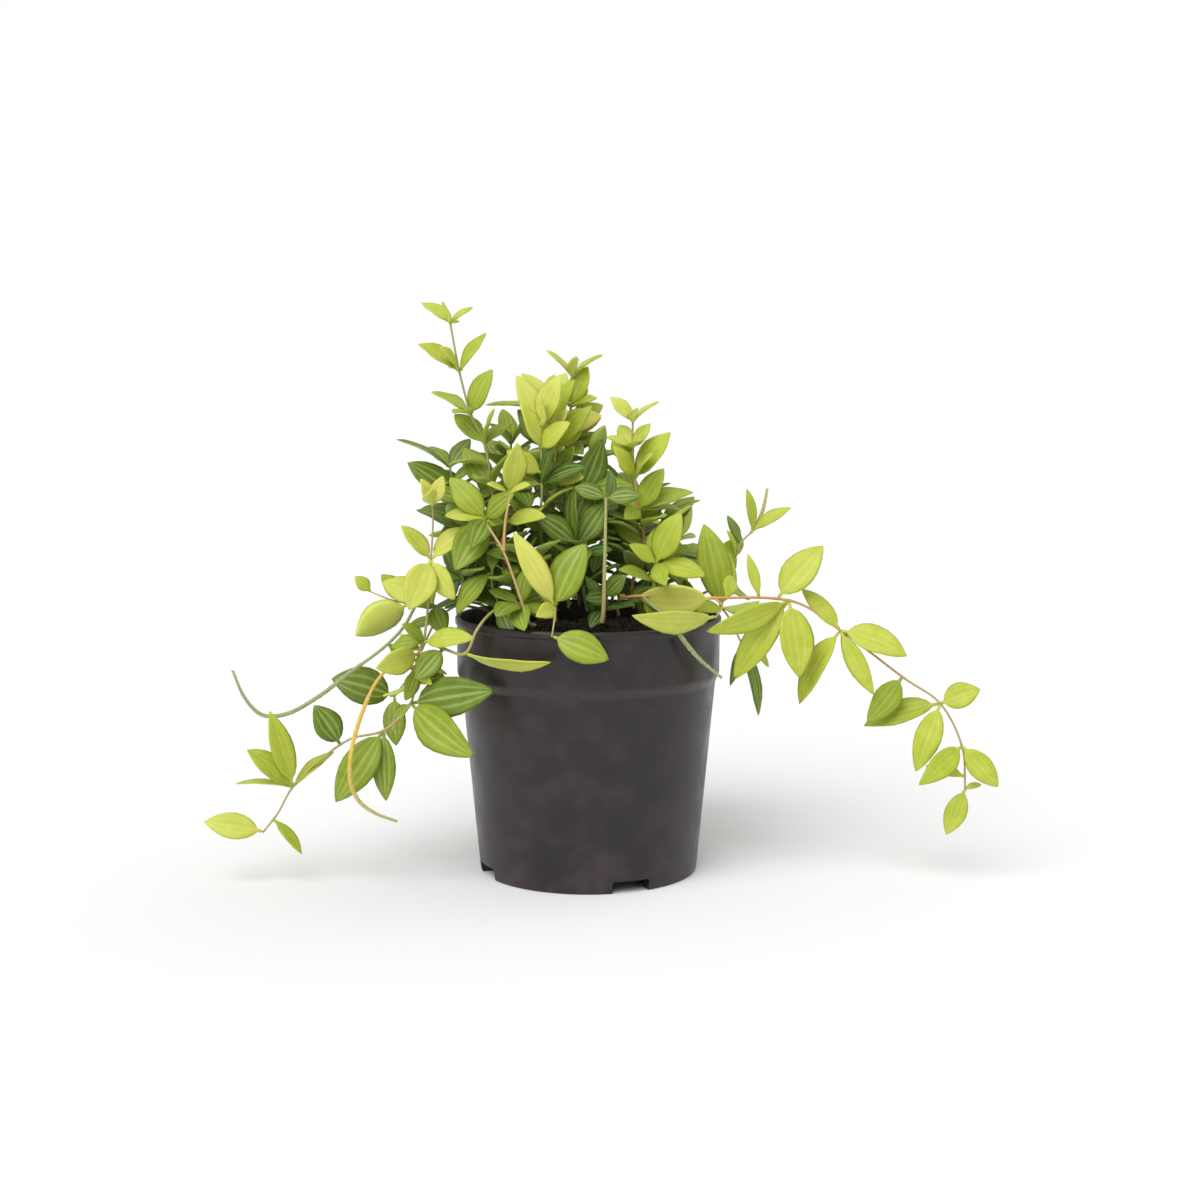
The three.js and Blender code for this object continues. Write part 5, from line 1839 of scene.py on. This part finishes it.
def makeShoots():
    v = leafValues
    lines = {}
    cells = {}
    guides = growSolidShoots(lines, cells)
    guides["inner_growth"] = growBetween(lines, cells)
    shootTree = makeShootTree()
    inputs = {
        "Leaf Pattern": newLeafPattern(),
        "Stem Sides": stemValues["sides"],
        "Blade Thickness": v["thickness"] * mm,
        "Petiole Width": v["petioleWidth"] * mm,
        "Petiole Share": v["petioleShare"],
        "Fold Rise": v["foldRise"],
        "Edge Wave": v["edgeWave"],
        "Stem Material": makeStemMaterial(),
        "Leaf Material": makeLeafMaterial(),
    }
    keep = ["leafShare", "leafAcross", "leafOver", "leafTone", "leafLuck", "stemBlush"]
    nothing = {title: 0.0 for title in (
        "isLeaf", "leafLength", "leafWidth", "leafBow", "leafLuck", "leafTone", "stemRadius", "stemBlush",
    )}
    nothing.update({title: Vector() for title in ("leafJoint", "leafAlong", "leafSide", "leafFace")})
    for node, rows in guides.items():
        columns = {title: [row.get(title, nothing[title]) for row in rows["rows"]] for title in nothing}
        words = node.replace("shoot_", "").split("_")
        name = words[0] + "".join(word.capitalize() for word in words[1:])
        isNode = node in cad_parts
        guide = newGuide(name + "Guide", rows["points"], rows["edges"], columns)
        piece = baked(guide, shootTree, inputs, name + "Shoot" if isNode else name, keep)
        keepInBox(piece)
        faceOutwards(piece)
        piece.data.shade_smooth()
        place(piece, node if isNode else None)
    bpy.data.objects.remove(inputs["Leaf Pattern"])


makeShoots()


# The flower spikes: a smooth stalk, then a slender rod set with tiny beads

spikeValues = {
    "radius": 1.0,
    "stalkShare": 0.3,
    "stalkRadius": 0.72,
    "stalkBlend": 0.06,
    "beadedFrom": 0.4,
    "beadSunk": 0.6,
    "tipShare": 0.5,
    "tipFrom": 0.6,
    "step": 0.85,
    "coreSides": 10,
    "beadsAround": 7,
    "beadRadius": 0.36,
    "beadSizes": (0.75, 1.25),
    "seed": 5,
    "slot": "foliage_young",
    "green": paint(150, 160, 108),
    "yellow": paint(220, 184, 78),
    "orange": paint(206, 158, 82),
    "greenBead": paint(186, 192, 140),
    "yellowBead": paint(238, 210, 112),
    "orangeBead": paint(226, 182, 100),
    "ripeStops": (0.1, 0.62, 1.0),
    "beadMarks": (0.5, 1.2),
    "beadPaint": 0.8,
    "patchSize": 3,
    "grainSize": 0.35,
    "relief": (0.3, 0.1),
    "roughness": 0.45,
    "roughSpread": 0.15,
}


def makeSpikeTree():
    tree, given, end = newGeometryTree("beadedSpike", {
        "Core Sides": ("NodeSocketInt", 8),
        "Beads Around": ("NodeSocketInt", 7),
        "Bead Radius": ("NodeSocketFloat", mm),
        "Seed": ("NodeSocketInt", 1),
        "Material": ("NodeSocketMaterial", None),
    })
    line = curveOf(given["Geometry"])
    # each ring of beads is turned by half a bead from the last
    tilt = made(tree, "GeometryNodeInputIndex") * calc(tree, "DIVIDE", math.pi, given["Beads Around"])
    tilted = made(tree, "GeometryNodeSetCurveTilt", {"Curve": line, "Tilt": tilt})
    radius = named(tree, "spikeRadius")
    core = swept(line, given["Core Sides"], radius)
    net = swept(tilted, given["Beads Around"], radius, False)
    size = drawn(tree, given["Seed"], *spikeValues["beadSizes"])
    marked = made(
        tree, "GeometryNodeStoreNamedAttribute",
        {"Geometry": net, "Name": "beadMark", "Value": size}, {"data_type": "FLOAT", "domain": "POINT"},
    )
    inputs = {"Radius": given["Bead Radius"], "Subdivisions": 1}
    beads = made(tree, "GeometryNodeInstanceOnPoints", {
        "Points": marked,
        "Selection": named(tree, "beadShare") > 0.5,
        "Instance": made(tree, "GeometryNodeMeshIcoSphere", inputs),
        "Scale": size,
    })
    feed(coated(realized(joined(core, beads)), given["Material"]), end.inputs["Geometry"])
    return tree


def makeSpikeMaterial():
    v = spikeValues
    material, shader = newMaterial("spikeBeads")
    patches, grain = uneven(shader, v)
    ripe = attribute(shader, "spikeRipe")
    core = ramp(ripe, v["ripeStops"], [v["green"], v["yellow"], v["orange"]])
    bead = ramp(ripe, v["ripeStops"], [v["greenBead"], v["yellowBead"], v["orangeBead"]])
    mark = remap(attribute(shader, "beadMark"), v["beadMarks"]) * v["beadPaint"]
    feedAll(shader, {
        "Base Color": mixed(mark, core, bead),
        "Roughness": patches * v["roughSpread"] + v["roughness"],
    })
    relief(shader, grain, v)
    return material


def spikeRadius(share, beaded):
    v = spikeValues
    rod = v["radius"] - v["beadRadius"] * v["beadSunk"]
    narrowing = 1 - (1 - v["tipShare"]) * max(0, (share - v["tipFrom"]) / (1 - v["tipFrom"])) ** 1.5
    return (v["stalkRadius"] + (rod - v["stalkRadius"]) * beaded) * narrowing


def makeSpikes():
    v = spikeValues
    tree = makeSpikeTree()
    inputs = {
        "Core Sides": v["coreSides"],
        "Beads Around": v["beadsAround"],
        "Bead Radius": v["beadRadius"] * mm,
        "Seed": v["seed"],
        "Material": makeSpikeMaterial(),
    }
    for spike in flowerSpikes:
        name = spike["name"]
        line = makeLine(spike)
        steps = math.ceil(lengthOf(line) / v["step"])
        shares = [step / steps for step in range(steps + 1)]
        beaded = [min(1, max(0, (share - v["stalkShare"]) / v["stalkBlend"])) for share in shares]
        columns = {
            "spikeRadius": [spikeRadius(*pair) * mm for pair in zip(shares, beaded)],
            "beadShare": [1.0 if amount > v["beadedFrom"] else 0.0 for amount in beaded],
            "spikeRipe": [toneAt(spike["ripe"], share) for share in shares],
        }
        edges = [(step, step + 1) for step in range(steps)]
        guide = newGuide(name + "Guide", [pointAt(line, share) for share in shares], edges, columns)
        piece = baked(guide, tree, inputs, name, ["spikeRipe", "beadMark"])
        faceOutwards(piece)
        piece.data.shade_smooth()
        place(piece, None)


makeSpikes()


print("plant done")
